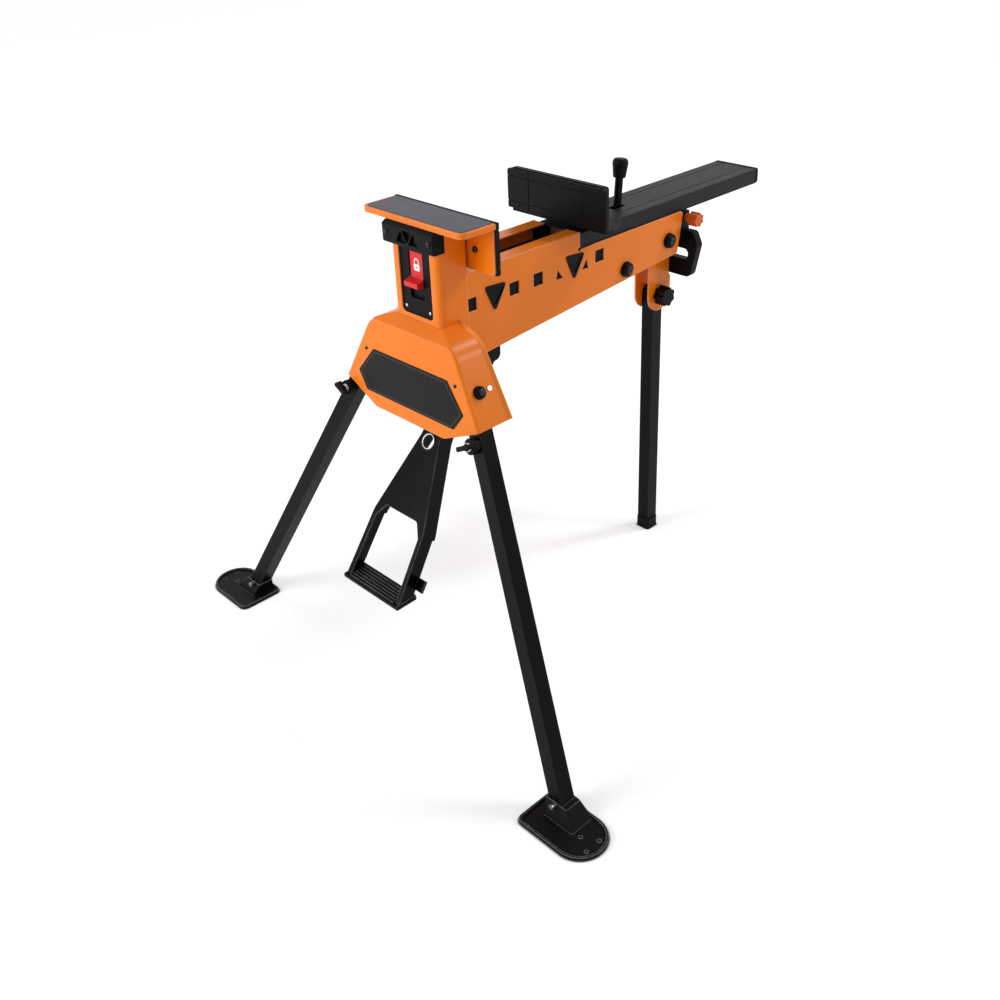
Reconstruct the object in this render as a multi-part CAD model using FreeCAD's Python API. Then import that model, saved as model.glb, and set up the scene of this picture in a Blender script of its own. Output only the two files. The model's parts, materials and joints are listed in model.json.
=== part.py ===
import FreeCAD, Part
import math
import os

V = FreeCAD.Vector
X_AXIS = V(1, 0, 0)
Y_AXIS = V(0, 1, 0)
Z_AXIS = V(0, 0, 1)
FORWARD = V(0, -1, 0)
PLANES = {"xy": (X_AXIS, Y_AXIS, Z_AXIS), "xz": (X_AXIS, Z_AXIS, Y_AXIS), "yz": (Y_AXIS, Z_AXIS, X_AXIS)}

# Driving dimensions in mm. X runs across the stand, Y from the fixed jaw's clamping face to the rear,
# Z up from the floor. At the end everything is moved so that the origin is under the middle of the stand.
SHEET = 3.0
FIT = 0.05
SLIP = 0.3

BENCH_HEIGHT = 915.0
HEAD_WIDTH = 262.0
HEAD_DEPTH = 76.0
HEAD_LIP = 10.0
HEAD_CORNER = 14.0
PAD_THICK = 8.0
PAD_HEIGHT = 92.0

BEAM_WIDTH = 119.4
BEAM_FRONT_Y = -58.0
BEAM_STEP_Y = 274.5
BEAM_REAR_Y = 588.0
BEAM_REAR_LOW_Y = 572.0
BEAM_TALL_Z = 814.4
BEAM_LOW_Z = 780.0
BEAM_FLANGE = 27.0
BEAM_FLOOR_Z = 649.9
BEAM_FLOOR_RISE = 0.0754
BEAM_WEB_FRONT_Y = 100.0
WINDOW_Z = 753.0
WINDOW_SIZE = 25.0
WINDOW_YS = (-6.5, 98.6, 160.5, 329.4)
INSERT_YS = (51.3, 259.1)
INSERT_WIDTH = 50.0
INSERT_TOP_Z = 775.0
INSERT_HEIGHT = 48.0
NOTCH_MIDDLE_Y = 252.5
NOTCH_REACH = 44.5
CROSS_BOLTS = ((407.9, 703.2), (542.0, 728.0))
CROSS_BOLT_R = 6.0

COLUMN_FRONT_Y = -80.0
COLUMN_REAR_Y = -17.0
COLUMN_FOOT_Z = 655.0
COLUMN_CORNER = 12.0

PANEL_WIDTH = 83.0
PANEL_LOW_Z = 739.0
PANEL_TOP_Z = 863.0
PANEL_LAP = 5.0
PANEL_CORNER = 9.0
PANEL_THICK = 6.0
PANEL_FLOOR = 1.3
SWITCH_WIDTH = 35.0
SWITCH_LOW_Z = 793.0
SWITCH_TOP_Z = 855.0
SWITCH_TRAVEL = 22.0
SWITCH_THICK = 2.2
SWITCH_LIP = 17.0
SWITCH_ROOM = 0.6
STEM_TOP = 10.0
STEM_LOW = 34.0

GRIP_WIDTH = 130.6
GRIP_LOW_Z = 865.0
GRIP_TOP_Z = 904.0
GRIP_PROUD = 12.0

HUB_REAR_Y = -37.0
HUB_SHOULDER_Z = 714.0
HUB_SHOULDER_HALF = 112.6
HUB_SHOULDER_Y = -103.0
HUB_SHOULDER_R = 60.0
HUB_TILT = 5.4
HUB_TOP_Z = 731.0
HUB_ELBOW_Z = 584.0
HUB_FOOT_Z = 545.0
HUB_FOOT_HALF = 95.0
HUB_FOLD = 5.0

LEG = 30.0
LEG_WALL = 2.0
LEG_GAP = 1.5
LEG_SPLAY = 28.2
LEG_LEAN = 11.0
LEG_PIVOT_Y = -82.6
LEG_PIVOT_Z = 640.0
LEG_END_Z = 16.0
PIVOT_R = 5.0
STOP_PIN_BACK = 24.0
LOCK_DROP = 86.0
LOCK_R = 4.0
COLLAR_R = 14.5
COLLAR_LENGTH = 15.0

FOOT_LENGTH = 148.0
FOOT_DEPTH = 96.0
FOOT_OUT = 30.0
FOOT_FORWARD = 22.0
FOOT_RIM = 6.5
FOOT_RIM_WIDTH = 4.0
FOOT_BOSS_Z = 29.0
FOOT_HOLE_R = 3.5
FOOT_HOLE_PCD = 36.0
FOOT_HOLE_IN = 27.0
FOOT_PIN_R = 3.5
FOOT_PIN_UP = 6.0

REAR_PIVOT_Y = 567.0
REAR_PIVOT_Z = 592.0
REAR_BRACKET_R = 36.0
REAR_KNOB_R = 21.0
REAR_KNOB_LENGTH = 24.0

PEDAL_PIVOT_Y = 20.0
PEDAL_PIVOT_Z = 606.0
PEDAL_REST = 33.0
PEDAL_FLANGE = 34.0
PEDAL_NECK_HALF = 24.0
PEDAL_PIN_R = 6.0
PEDAL_BRACKET_X = 38.0
TREAD_HALF = 78.0
TREAD_DEPTH = 48.0
TREAD_THICK = 10.0
TREAD_Y = -220.7
TREAD_Z = 243.0
TREAD_TILT = 2.0
ARM_RADIUS = 95.0
ARM_REST = 14.0
EYE_HALF = 4.0

JAW_WIDTH = 255.0
JAW_FACE_Y = 270.0
JAW_LOW_Z = 829.0
JAW_TOP_Z = 907.0
JAW_FACE_THICK = 6.0
JAW_PLATE_THICK = 10.0
JAW_PLATE_IN = 6.5
JAW_FLANGE_Y = 345.0
JAW_FLANGE_DROP = 8.0
NECK_HALF = 27.0
NECK_LENGTH = 58.0

DECK_HALF = 55.5
DECK_LOW_Z = 779.0
DECK_TOP_Z = 810.5
DECK_REAR_Y = 850.0
DECK_CAP_THICK = 6.0
RAIL_TOP_Z = 778.5
RAIL_LOW_Z = 767.0
RAIL_INNER_X = 44.0
RAIL_FRONT_Y = -24.0
RAIL_REAR_Y = 558.0
RAIL_SKIRT = 2.5
RAIL_SKIRT_LOW_Z = 735.0
BAR_LOW_Z = 783.0
BAR_TOP_Z = 801.0
BAR_INNER = 16.0
BAR_HALF = 23.0
BAR_BLOCK = 12.0
CARRIAGE_FRONT_Y = 345.0
CARRIAGE_REAR_Y = 398.0
CARRIAGE_HALF = 26.0
CARRIAGE_LOW_Z = 689.0
CARRIAGE_TOP_Z = 772.0
DOG_YS = (362.0, 382.0)
DOG_TILT = 8.0
DOG_ROOM = 0.5

LEVER_Y = 448.0
LEVER_PIVOT_Z = 799.0
LEVER_TOP_Z = 907.0
LEVER_LEAN = 6.0
LEVER_R = 8.0
LEVER_PIN_R = 3.0
LEVER_KNOB_LENGTH = 38.0
LEVER_LUG_X = 10.0

HANDLE_FRONT_Y = 599.0
HANDLE_DEPTH = 22.0
HANDLE_TOP_Z = 735.0
HANDLE_LOW_Z = 634.0
SLOT_LOW_Z = 672.0
SLOT_TOP_Z = 695.0
SLOT_HALF = 67.0
HOUSING_FRONT_Y = 560.0
HOUSING_REAR_Y = 614.0
HOUSING_LOW_Z = 715.0
HOUSING_TOP_Z = 776.0
LOCK_KNOB_Y = 603.0
LOCK_KNOB_Z = 762.0
LOCK_KNOB_R = 15.0
LOCK_KNOB_OUT = 12.0

# Sizes that follow from the driving dimensions.
BEAM_HALF = BEAM_WIDTH / 2
BEAM_INNER = BEAM_HALF - SHEET
COLUMN_HALF = BEAM_HALF + SHEET
COLUMN_TOP_Z = BENCH_HEIGHT - SHEET
HEAD_REAR_Y = -PAD_THICK
HEAD_FRONT_Y = HEAD_REAR_Y - HEAD_DEPTH
PANEL_FRONT_Y = COLUMN_FRONT_Y + SHEET
PANEL_REAR_Y = PANEL_FRONT_Y + PANEL_THICK
SWITCH_BACK_Y = PANEL_REAR_Y - PANEL_FLOOR - SLIP
DECK_FRONT_Y = JAW_FACE_Y + JAW_FACE_THICK
JAW_REAR_Y = DECK_FRONT_Y + JAW_PLATE_THICK
SPLAY_TAN = math.tan(math.radians(LEG_SPLAY))
TILT_TAN = math.tan(math.radians(HUB_TILT))
SIDE_TURN = FreeCAD.Rotation(Y_AXIS, -LEG_SPLAY)
LEG_TURN = SIDE_TURN.multiply(FreeCAD.Rotation(X_AXIS, -LEG_LEAN))
SIDE_NORMAL = SIDE_TURN.multVec(X_AXIS)
SIDE_POINT = V(HUB_SHOULDER_HALF + (HUB_SHOULDER_Z - LEG_PIVOT_Z) * SPLAY_TAN, LEG_PIVOT_Y, LEG_PIVOT_Z)
STOP_POINT = SIDE_POINT + Y_AXIS * STOP_PIN_BACK
LEG_PIVOT = SIDE_POINT - SIDE_NORMAL * (SHEET + LEG_GAP + LEG / 2)
LEG_DOWN = LEG_TURN.multVec(V(0, 0, -1))
LEG_LENGTH = (LEG_END_Z - LEG_PIVOT.z) / LEG_DOWN.z
LEG_END = LEG_PIVOT + LEG_DOWN * LEG_LENGTH
FOOT_CENTRE = V(LEG_END.x + FOOT_OUT, LEG_END.y - FOOT_FORWARD, 0)
FOOT_HOLES = FOOT_CENTRE + X_AXIS * (FOOT_LENGTH / 2 - FOOT_HOLE_IN)
PEDAL_PIVOT = V(0, PEDAL_PIVOT_Y, PEDAL_PIVOT_Z)
PEDAL_TURN = FreeCAD.Rotation(X_AXIS, -PEDAL_REST)
ARM_PIN = FreeCAD.Rotation(X_AXIS, PEDAL_REST - ARM_REST).multVec(V(0, 0, ARM_RADIUS))
ARM_PIN_PLACE = PEDAL_PIVOT + PEDAL_TURN.multVec(ARM_PIN)
LEVER_PIVOT = V(0, LEVER_Y, LEVER_PIVOT_Z)
LEVER_TURN = FreeCAD.Rotation(X_AXIS, -LEVER_LEAN)
MIDDLE_Y = (FOOT_CENTRE.y - FOOT_DEPTH / 2 + DECK_REAR_Y + DECK_CAP_THICK) / 2


def outline(points, plane):
    """Closed wire through corners (u, v) or (u, v, radius), with a tangent arc at each rounded corner."""
    u_axis, v_axis, _ = PLANES[plane]
    places = [u_axis * p[0] + v_axis * p[1] for p in points]
    radii = [p[2] if len(p) > 2 else 0 for p in points]
    stops = []
    for i, corner in enumerate(places):
        back = (places[i - 1] - corner).normalize()
        ahead = (places[(i + 1) % len(places)] - corner).normalize()
        half = back.getAngle(ahead) / 2
        reach = radii[i] / math.tan(half)
        middle = corner + (back + ahead).normalize() * (radii[i] / math.sin(half) - radii[i])
        stops.append((corner + back * reach, middle, corner + ahead * reach, radii[i]))
    edges = []
    for i, (start, middle, end, radius) in enumerate(stops):
        if radius:
            edges.append(Part.Arc(start, middle, end).toShape())
        following = stops[(i + 1) % len(stops)][0]
        if end.distanceToPoint(following) > 1e-6:
            edges.append(Part.LineSegment(end, following).toShape())
    return Part.Wire(edges)


def rectangle(u, v, low_radius, high_radius):
    """Corners of a rectangle between two limits each way, with radii for its lower and upper corners."""
    low = [(u[0], v[0], low_radius), (u[1], v[0], low_radius)]
    return low + [(u[1], v[1], high_radius), (u[0], v[1], high_radius)]


def prism(points, plane, low, high):
    """The outline on its plane, carried along the plane's normal from low to high."""
    normal = PLANES[plane][2]
    face = Part.Face(outline(points, plane))
    face.translate(normal * low)
    return face.extrude(normal * (high - low))


def box(x, y, z):
    """A block between two limits on each axis."""
    return Part.makeBox(x[1] - x[0], y[1] - y[0], z[1] - z[0], V(x[0], y[0], z[0]))


def rod(start, end, radius):
    """A round bar between two points."""
    return Part.makeCylinder(radius, (end - start).Length, start, end - start)


def cross_rod(half, y, z, radius):
    """A round bar across the stand at a height and depth."""
    return rod(V(-half, y, z), V(half, y, z), radius)


def mirrored(shape):
    """The same shape on the other side of the stand's middle plane."""
    return shape.mirror(V(0, 0, 0), X_AXIS)


def pair(shape):
    """Two separate solids, one on each side."""
    return Part.makeCompound([shape, mirrored(shape)])


def both(shape):
    """One solid from a half and its mirror image."""
    return shape.fuse(mirrored(shape)).removeSplitter()


def placed(shape, turn, point):
    """A shape built about the origin, turned and carried to a point."""
    moved = shape.copy()
    moved.Placement = FreeCAD.Placement(point, turn).multiply(moved.Placement)
    return moved


def fluted(length, radius, count, flute_r, depth):
    """A round grip along +X with evenly spaced round flutes cut into its rim."""
    body = Part.makeCylinder(radius, length, V(0, 0, 0), X_AXIS)
    reach = radius + flute_r - depth
    for i in range(count):
        angle = 2 * math.pi * i / count
        start = V(-1, reach * math.cos(angle), reach * math.sin(angle))
        body = body.cut(rod(start, start + X_AXIS * (length + 2), flute_r))
    return body


def screw_head(point, axis, radius, height):
    """A low screw head with a round socket."""
    head = Part.makeCylinder(radius, height, point, axis)
    depth = height * 0.6
    return head.cut(Part.makeCylinder(radius * 0.45, height, point + axis * (height - depth), axis))


def beam_floor(y):
    """Height of the beam's lower edge, which rises towards the rear."""
    return BEAM_FLOOR_Z + BEAM_FLOOR_RISE * y


def through_wall(points):
    """A cutter through the beam's right wall."""
    return prism(points, "yz", BEAM_INNER - 1, BEAM_HALF + 1)


def insert_corners(y, grow):
    """Corners of the large downward triangle at y, grown by a margin."""
    half = INSERT_WIDTH / 2 + grow
    low = INSERT_TOP_Z - INSERT_HEIGHT - 2 * grow
    return [(y - half, INSERT_TOP_Z + grow, 4), (y + half, INSERT_TOP_Z + grow - 4, 4), (y - 3, low, 4)]


def main_beam():
    """Folded channel: two tall walls, a floor between them and flanges turned in over the front half."""
    side = [(BEAM_FRONT_Y, beam_floor(BEAM_FRONT_Y)), (BEAM_REAR_LOW_Y, beam_floor(BEAM_REAR_LOW_Y), 7),
            (BEAM_REAR_Y, BEAM_LOW_Z, 7), (BEAM_STEP_Y, BEAM_LOW_Z), (BEAM_STEP_Y, BEAM_TALL_Z, 3),
            (BEAM_FRONT_Y, BEAM_TALL_Z)]
    wall = prism(side, "yz", BEAM_INNER, BEAM_HALF)
    half = WINDOW_SIZE / 2
    for y in WINDOW_YS:
        window = rectangle((y - half, y + half), (WINDOW_Z - half, WINDOW_Z + half), 2, 2)
        wall = wall.cut(through_wall(window))
    for y in INSERT_YS:
        wall = wall.cut(through_wall(insert_corners(y, 0)))
    for sign in (-1, 1):
        foot = NOTCH_MIDDLE_Y + sign * NOTCH_REACH
        low = WINDOW_Z - 16
        notch = [(foot, low, 1), (foot - sign * 18, low, 1), (foot - sign * 4, low + 20, 1)]
        wall = wall.cut(through_wall(notch))
    for y, z in CROSS_BOLTS:
        wall = wall.cut(cross_rod(BEAM_WIDTH, y, z, CROSS_BOLT_R + FIT))
    wall = wall.cut(cross_rod(BEAM_WIDTH, BEAM_STEP_Y - 2, BEAM_LOW_Z, 4))
    flange = box((BEAM_INNER - BEAM_FLANGE, BEAM_INNER), (COLUMN_REAR_Y, BEAM_STEP_Y - 4),
                 (BEAM_TALL_Z - SHEET, BEAM_TALL_Z))
    rear = BEAM_REAR_LOW_Y - 8
    front = BEAM_WEB_FRONT_Y
    web = [(front, beam_floor(front)), (rear, beam_floor(rear)), (rear, beam_floor(rear) + SHEET),
           (front, beam_floor(front) + SHEET)]
    floor = prism(web, "yz", 0, BEAM_INNER)
    return both(wall.fuse(flange).fuse(floor))


def beam_inserts():
    """Moulded triangles that plug the large windows, standing a little proud with a dished face."""
    plugs = []
    for y in INSERT_YS:
        plug = prism(insert_corners(y, -SLIP), "yz", BEAM_INNER, BEAM_HALF)
        plug = plug.fuse(prism(insert_corners(y, 1.5), "yz", BEAM_HALF, BEAM_HALF + 2))
        plugs.append(plug.cut(prism(insert_corners(y, -4), "yz", BEAM_HALF + 0.5, BEAM_HALF + 3)))
    return Part.makeCompound(plugs + [mirrored(plug) for plug in plugs])


def guide_rails():
    """Angle strips inside the walls: the deck slides on their tops, and their skirts back the windows."""
    length = (RAIL_FRONT_Y, RAIL_REAR_Y)
    rail = box((RAIL_INNER_X, BEAM_INNER), length, (RAIL_LOW_Z, RAIL_TOP_Z))
    skirt = box((BEAM_INNER - RAIL_SKIRT, BEAM_INNER), length, (RAIL_SKIRT_LOW_Z, RAIL_LOW_Z))
    return pair(rail.fuse(skirt).removeSplitter())


def cross_bolts():
    """Bolts across the beam with a domed cap on each end."""
    bolts = []
    for y, z in CROSS_BOLTS:
        cap = Part.makeCone(16, 14.5, 8, V(BEAM_HALF, y, z), X_AXIS)
        cap = cap.fuse(Part.makeCone(14.5, 9, 3.5, V(BEAM_HALF + 8, y, z), X_AXIS))
        bolts.append(cross_rod(BEAM_HALF, y, z, CROSS_BOLT_R).fuse(cap).fuse(mirrored(cap)))
    return Part.makeCompound(bolts)


def column_form(inset):
    """Plan of the head column with rounded front corners, set in by the sheet for its inside."""
    half = COLUMN_HALF - inset
    front = COLUMN_FRONT_Y + inset
    corner = COLUMN_CORNER - inset
    plan = rectangle((-half, half), (front, COLUMN_REAR_Y + inset), corner, 0)
    return prism(plan, "xy", COLUMN_FOOT_Z - inset, COLUMN_TOP_Z + inset)


def panel_edge(grow):
    """Outline of the switch panel's window in the column, with rounded lower corners, grown all round."""
    half = PANEL_WIDTH / 2 + grow
    return rectangle((-half, half), (PANEL_LOW_Z - grow, PANEL_TOP_Z + grow), PANEL_CORNER, 0)


def head_column():
    """Folded upright, open at the rear and windowed in front, that carries the head and the beam."""
    window = prism(panel_edge(0), "xz", COLUMN_FRONT_Y - 1, PANEL_FRONT_Y + 1)
    return column_form(0).cut(column_form(SHEET)).cut(window)


def head_plate():
    """Pressed head: flat top with a lip on three sides and a web turned down behind the fixed jaw pad."""
    half = HEAD_WIDTH / 2
    inner = half - SHEET
    lip_z = BENCH_HEIGHT - HEAD_LIP
    plan = rectangle((-half, half), (HEAD_FRONT_Y, HEAD_REAR_Y), HEAD_CORNER, 0)
    tray = prism(plan, "xy", lip_z, BENCH_HEIGHT)
    inside = rectangle((-inner, inner), (HEAD_FRONT_Y + SHEET, HEAD_REAR_Y - SHEET), HEAD_CORNER - SHEET, 0)
    hollow = prism(inside, "xy", lip_z - 1, COLUMN_TOP_Z)
    sheet = rectangle((-inner, inner), (BENCH_HEIGHT - PAD_HEIGHT, COLUMN_TOP_Z), 6, 0)
    web = prism(sheet, "xz", HEAD_REAR_Y - SHEET, HEAD_REAR_Y)
    return tray.cut(hollow).fuse(web).removeSplitter()


def head_cover():
    """Thin sheet on top of the head, set in from its edges."""
    half = HEAD_WIDTH / 2 - 6
    plan = rectangle((-half, half), (HEAD_FRONT_Y + 5, HEAD_REAR_Y - 1), 10, 0)
    return prism(plan, "xy", BENCH_HEIGHT, BENCH_HEIGHT + 1)


def fixed_jaw_pad():
    """Moulded clamping pad with bevelled edges and a shallow groove near top and bottom."""
    half = HEAD_WIDTH / 2
    low = BENCH_HEIGHT - PAD_HEIGHT
    top = BENCH_HEIGHT + 1
    side = [(-PAD_THICK, low), (-2, low), (0, low + 2), (0, top - 2), (-2, top), (-PAD_THICK, top)]
    pad = prism(side, "yz", -half, half)
    for z in (low + 14, top - 14):
        pad = pad.cut(box((-half - 1, half + 1), (-1.5, 1), (z - 1.5, z + 1.5)))
    return pad


def pad_screws():
    """Two screws that hold the pad to the web, seen from the front."""
    return pair(screw_head(V(82, HEAD_REAR_Y - SHEET, BENCH_HEIGHT - 54), FORWARD, 5.5, 3))


def front_grip():
    """Moulded grip that wraps the column under the head, with a row of triangular recesses."""
    half = GRIP_WIDTH / 2
    front = COLUMN_FRONT_Y - GRIP_PROUD
    back = COLUMN_FRONT_Y + 15
    side = [(front, GRIP_LOW_Z + 3), (front + 3, GRIP_LOW_Z), (back, GRIP_LOW_Z), (back, GRIP_TOP_Z),
            (front + 8, GRIP_TOP_Z), (front, GRIP_TOP_Z - 5)]
    reach = COLUMN_HALF + SLIP
    hollow = box((-reach, reach), (COLUMN_FRONT_Y, back + 1), (GRIP_LOW_Z - 1, GRIP_TOP_Z + 1))
    grip = prism(side, "yz", -half, half).cut(hollow)
    low = GRIP_LOW_Z + 8
    high = GRIP_TOP_Z - 9
    for i in range(3):
        middle = 16.5 * (i - 1)
        base, tip = (low, high) if i % 2 == 0 else (high, low)
        triangle = [(middle - 13, base, 1), (middle + 13, base, 1), (middle, tip, 1)]
        grip = grip.cut(prism(triangle, "xz", front - 1, front + 6))
    return grip


def grip_screws():
    """Screws at the ends of the front grip."""
    z = (GRIP_LOW_Z + GRIP_TOP_Z) / 2
    return pair(screw_head(V(56, COLUMN_FRONT_Y - GRIP_PROUD, z), FORWARD, 4, 1.5))


def switch_panel():
    """Plate behind the column's window, with a pocket that the lock switch slides in."""
    plate = prism(panel_edge(PANEL_LAP), "xz", PANEL_FRONT_Y, PANEL_REAR_Y)
    reach = SWITCH_WIDTH / 2 + SWITCH_ROOM
    pocket = box((-reach, reach), (PANEL_FRONT_Y - 1, PANEL_REAR_Y - PANEL_FLOOR),
                 (SWITCH_LOW_Z - SWITCH_TRAVEL - 1, SWITCH_TOP_Z + 1))
    slot = box((-9, 9), (PANEL_FRONT_Y, PANEL_REAR_Y + 1),
               (SWITCH_TOP_Z - STEM_LOW - SWITCH_TRAVEL - 1, SWITCH_TOP_Z - STEM_TOP + 1))
    return plate.cut(pocket).cut(slot)


def panel_screws():
    """Small screws at the foot of the switch panel."""
    spot = V(PANEL_WIDTH / 2 - 10, PANEL_FRONT_Y, PANEL_LOW_Z + 12)
    return pair(screw_head(spot, FORWARD, 3, 1.2))


def lock_switch():
    """Sliding switch: a flat key with a toe at its foot to press on, and a stem through the panel."""
    half = SWITCH_WIDTH / 2
    back = SWITCH_BACK_Y
    face = back - SWITCH_THICK
    tip = face - SWITCH_LIP
    toe = SWITCH_LOW_Z + 11
    side = [(back, SWITCH_LOW_Z), (tip + 1, SWITCH_LOW_Z + 1, 3), (tip, toe, 3), (face, toe + 5, 4),
            (face, SWITCH_TOP_Z, 1), (back, SWITCH_TOP_Z)]
    stem = box((-8, 8), (back, COLUMN_FRONT_Y + 14), (SWITCH_TOP_Z - STEM_LOW, SWITCH_TOP_Z - STEM_TOP))
    return prism(side, "yz", -half, half).fuse(stem)


def hub_front(offset):
    """Everything in front of the hub's tilted front face, moved back by an offset."""
    low = HUB_FOOT_Z - 80
    high = HUB_TOP_Z + 60
    low_y = HUB_SHOULDER_Y + offset + (low - HUB_SHOULDER_Z) * TILT_TAN
    high_y = HUB_SHOULDER_Y + offset + (high - HUB_SHOULDER_Z) * TILT_TAN
    return prism([(low_y, low), (high_y, high), (-400, high), (-400, low)], "yz", -300, 300)


def hub_bevel(inset):
    """The wedge taken off the hub's top front edge, moved in by an inset."""
    high = HUB_TOP_Z + 50
    side = [(-400, HUB_SHOULDER_Z - inset), (HUB_SHOULDER_Y, HUB_SHOULDER_Z - inset),
            (COLUMN_FRONT_Y, HUB_TOP_Z - inset), (COLUMN_FRONT_Y, high), (-400, high)]
    return prism(side, "yz", -300, 300)


def hub_form(inset, low):
    """Outline of the hub: sloped shoulders and splayed sides down to a level, extruded to its rear edge."""
    slant = inset / math.cos(math.radians(LEG_SPLAY))
    shoulder_z = HUB_SHOULDER_Z - inset
    shoulder = HUB_SHOULDER_HALF + inset * SPLAY_TAN - slant
    elbow = shoulder + (shoulder_z - low) * SPLAY_TAN
    radius = HUB_SHOULDER_R - inset
    return [(-elbow, low), (-shoulder, shoulder_z, radius), (-COLUMN_HALF, HUB_TOP_Z - inset),
            (COLUMN_HALF, HUB_TOP_Z - inset), (shoulder, shoulder_z, radius), (elbow, low)]


def hub_housing():
    """Folded hub: tilted front plate, shoulders and splayed sides in one sheet, open below and behind."""
    corners = hub_form(0, HUB_ELBOW_Z) + [(HUB_FOOT_HALF, HUB_FOOT_Z), (-HUB_FOOT_HALF, HUB_FOOT_Z)]
    shell = prism(corners, "xz", -150, HUB_REAR_Y).cut(hub_front(0)).cut(hub_bevel(0))
    folds = [edge for edge in shell.Edges if is_side_fold(edge)]
    shell = shell.makeFillet(HUB_FOLD, folds)
    hollow = prism(hub_form(SHEET, HUB_FOOT_Z - 40), "xz", -150, HUB_REAR_Y + 1)
    shell = shell.cut(hollow.cut(hub_front(SHEET)).cut(hub_bevel(SHEET)))
    shell = shell.cut(column_form(0))
    for point in (SIDE_POINT, STOP_POINT):
        hole = rod(point - SIDE_NORMAL * 12, point + SIDE_NORMAL * 12, PIVOT_R + FIT)
        shell = shell.cut(hole).cut(mirrored(hole))
    return shell


def is_side_fold(edge):
    """True for the two long front edges where the hub's front plate turns into its sides."""
    middle = edge.CenterOfMass
    face_y = HUB_SHOULDER_Y + (middle.z - HUB_SHOULDER_Z) * TILT_TAN
    on_front = abs(middle.y - face_y) < 0.5
    return on_front and abs(middle.x) > HUB_SHOULDER_HALF + 10 and middle.z > HUB_ELBOW_Z + 20


def on_hub_front(shape):
    """A piece built on a vertical face, with z = 0 at the shoulder, laid on the hub's tilted front."""
    return placed(shape, FreeCAD.Rotation(X_AXIS, -HUB_TILT), V(0, HUB_SHOULDER_Y, HUB_SHOULDER_Z))


def hub_panel():
    """Bare six-sided plate on the hub's front."""
    top = -58
    waist = -110
    low = -143
    corners = [(-144, waist, 3), (-101, top, 3), (101, top, 3), (144, waist, 3), (120, low, 3),
               (-120, low, 3)]
    return on_hub_front(prism(corners, "xz", -1.2, 0))


def hub_screws():
    """Small screws beside the hub panel."""
    head = on_hub_front(screw_head(V(122, 0, -62), FORWARD, 3.2, 1.6))
    return pair(head)


def leg_brackets():
    """Inner plates beside the front legs that carry the far ends of the pivot bolts."""
    outer = -LEG / 2 - LEG_GAP
    plate = prism([(-60, -25), (18, -25, 12), (18, 32, 12), (-60, 32)], "yz", outer - SHEET, outer)
    plate = plate.cut(cross_rod(LEG, 0, 0, PIVOT_R + FIT))
    return pair(placed(plate, SIDE_TURN, LEG_PIVOT).cut(hub_front(SHEET)))


def leg_pivot_bolts():
    """Bolts square to the hub's sides that the front legs turn on, under domed caps."""
    reach = LEG / 2 + LEG_GAP + SHEET
    bolt = rod(V(-reach - 5, 0, 0), V(reach, 0, 0), PIVOT_R)
    bolt = bolt.fuse(Part.makeCone(12, 11, 6, V(reach, 0, 0), X_AXIS))
    bolt = bolt.fuse(Part.makeCone(11, 7, 4, V(reach + 6, 0, 0), X_AXIS))
    return pair(placed(bolt, SIDE_TURN, LEG_PIVOT))


def leg_stop_pins():
    """Bright pins through the hub's sides behind the pivots."""
    pin = Part.makeCylinder(PIVOT_R, SHEET + 2, V(-SHEET, 0, 0), X_AXIS)
    return pair(placed(pin, SIDE_TURN, STOP_POINT))


def leg_bar(size):
    """Solid form of a front leg about its pivot: a square bar with a round top end."""
    half = size / 2
    stem = box((-half, half), (-half, half), (-LEG_LENGTH, 0))
    return stem.fuse(Part.makeCylinder(half, size, V(-half, 0, 0), X_AXIS)).removeSplitter()


def foot_pin_hole(radius):
    """Round bar through the lower end of a leg, front to back."""
    z = FOOT_PIN_UP - LEG_LENGTH
    return rod(V(0, -40, z), V(0, 40, z), radius)


def leg_tube():
    """Square tube of the right front leg, bored for its pivot bolt, lock and foot pin."""
    inner = LEG / 2 - LEG_WALL
    tube = leg_bar(LEG).cut(box((-inner, inner), (-inner, inner), (-LEG_LENGTH - 1, 6)))
    tube = tube.cut(cross_rod(LEG, 0, 0, PIVOT_R + FIT)).cut(foot_pin_hole(FOOT_PIN_R + FIT))
    tube = tube.cut(rod(V(0, -LEG, -LOCK_DROP), V(0, 0, -LOCK_DROP), LOCK_R + FIT))
    return placed(tube, LEG_TURN, LEG_PIVOT)


def on_leg(shape):
    """A piece built about the leg's pivot, with the leg hanging down, carried to the right leg."""
    return placed(shape, LEG_TURN, LEG_PIVOT)


def lock_collar():
    """Serrated collar on the front of the right leg that guides its lock."""
    collar = fluted(COLLAR_LENGTH, COLLAR_R, 18, 1.8, 0.9).cut(cross_rod(40, 0, 0, LOCK_R + FIT))
    return on_leg(placed(collar, FreeCAD.Rotation(Z_AXIS, -90), V(0, -LEG / 2, -LOCK_DROP)))


def leg_lock():
    """Sprung pull on the right leg: a pin through the collar with a cross bar to grip."""
    start = -LEG / 2 - COLLAR_LENGTH - SLIP
    z = -LOCK_DROP
    pin = rod(V(0, -LEG / 2 + 7, z), V(0, start, z), LOCK_R)
    neck = rod(V(0, start, z), V(0, start - 9, z), 6)
    bar = prism(rectangle((-17, 17), (z - 4.5, z + 4.5), 4, 4), "xz", start - 16, start - 8)
    hook = prism(rectangle((11, 17), (z - 4.5, z + 4.5), 2.5, 2.5), "xz", start - 9, start - 3)
    return on_leg(pin.fuse(neck).fuse(bar).fuse(hook).fuse(mirrored(hook)))


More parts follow.
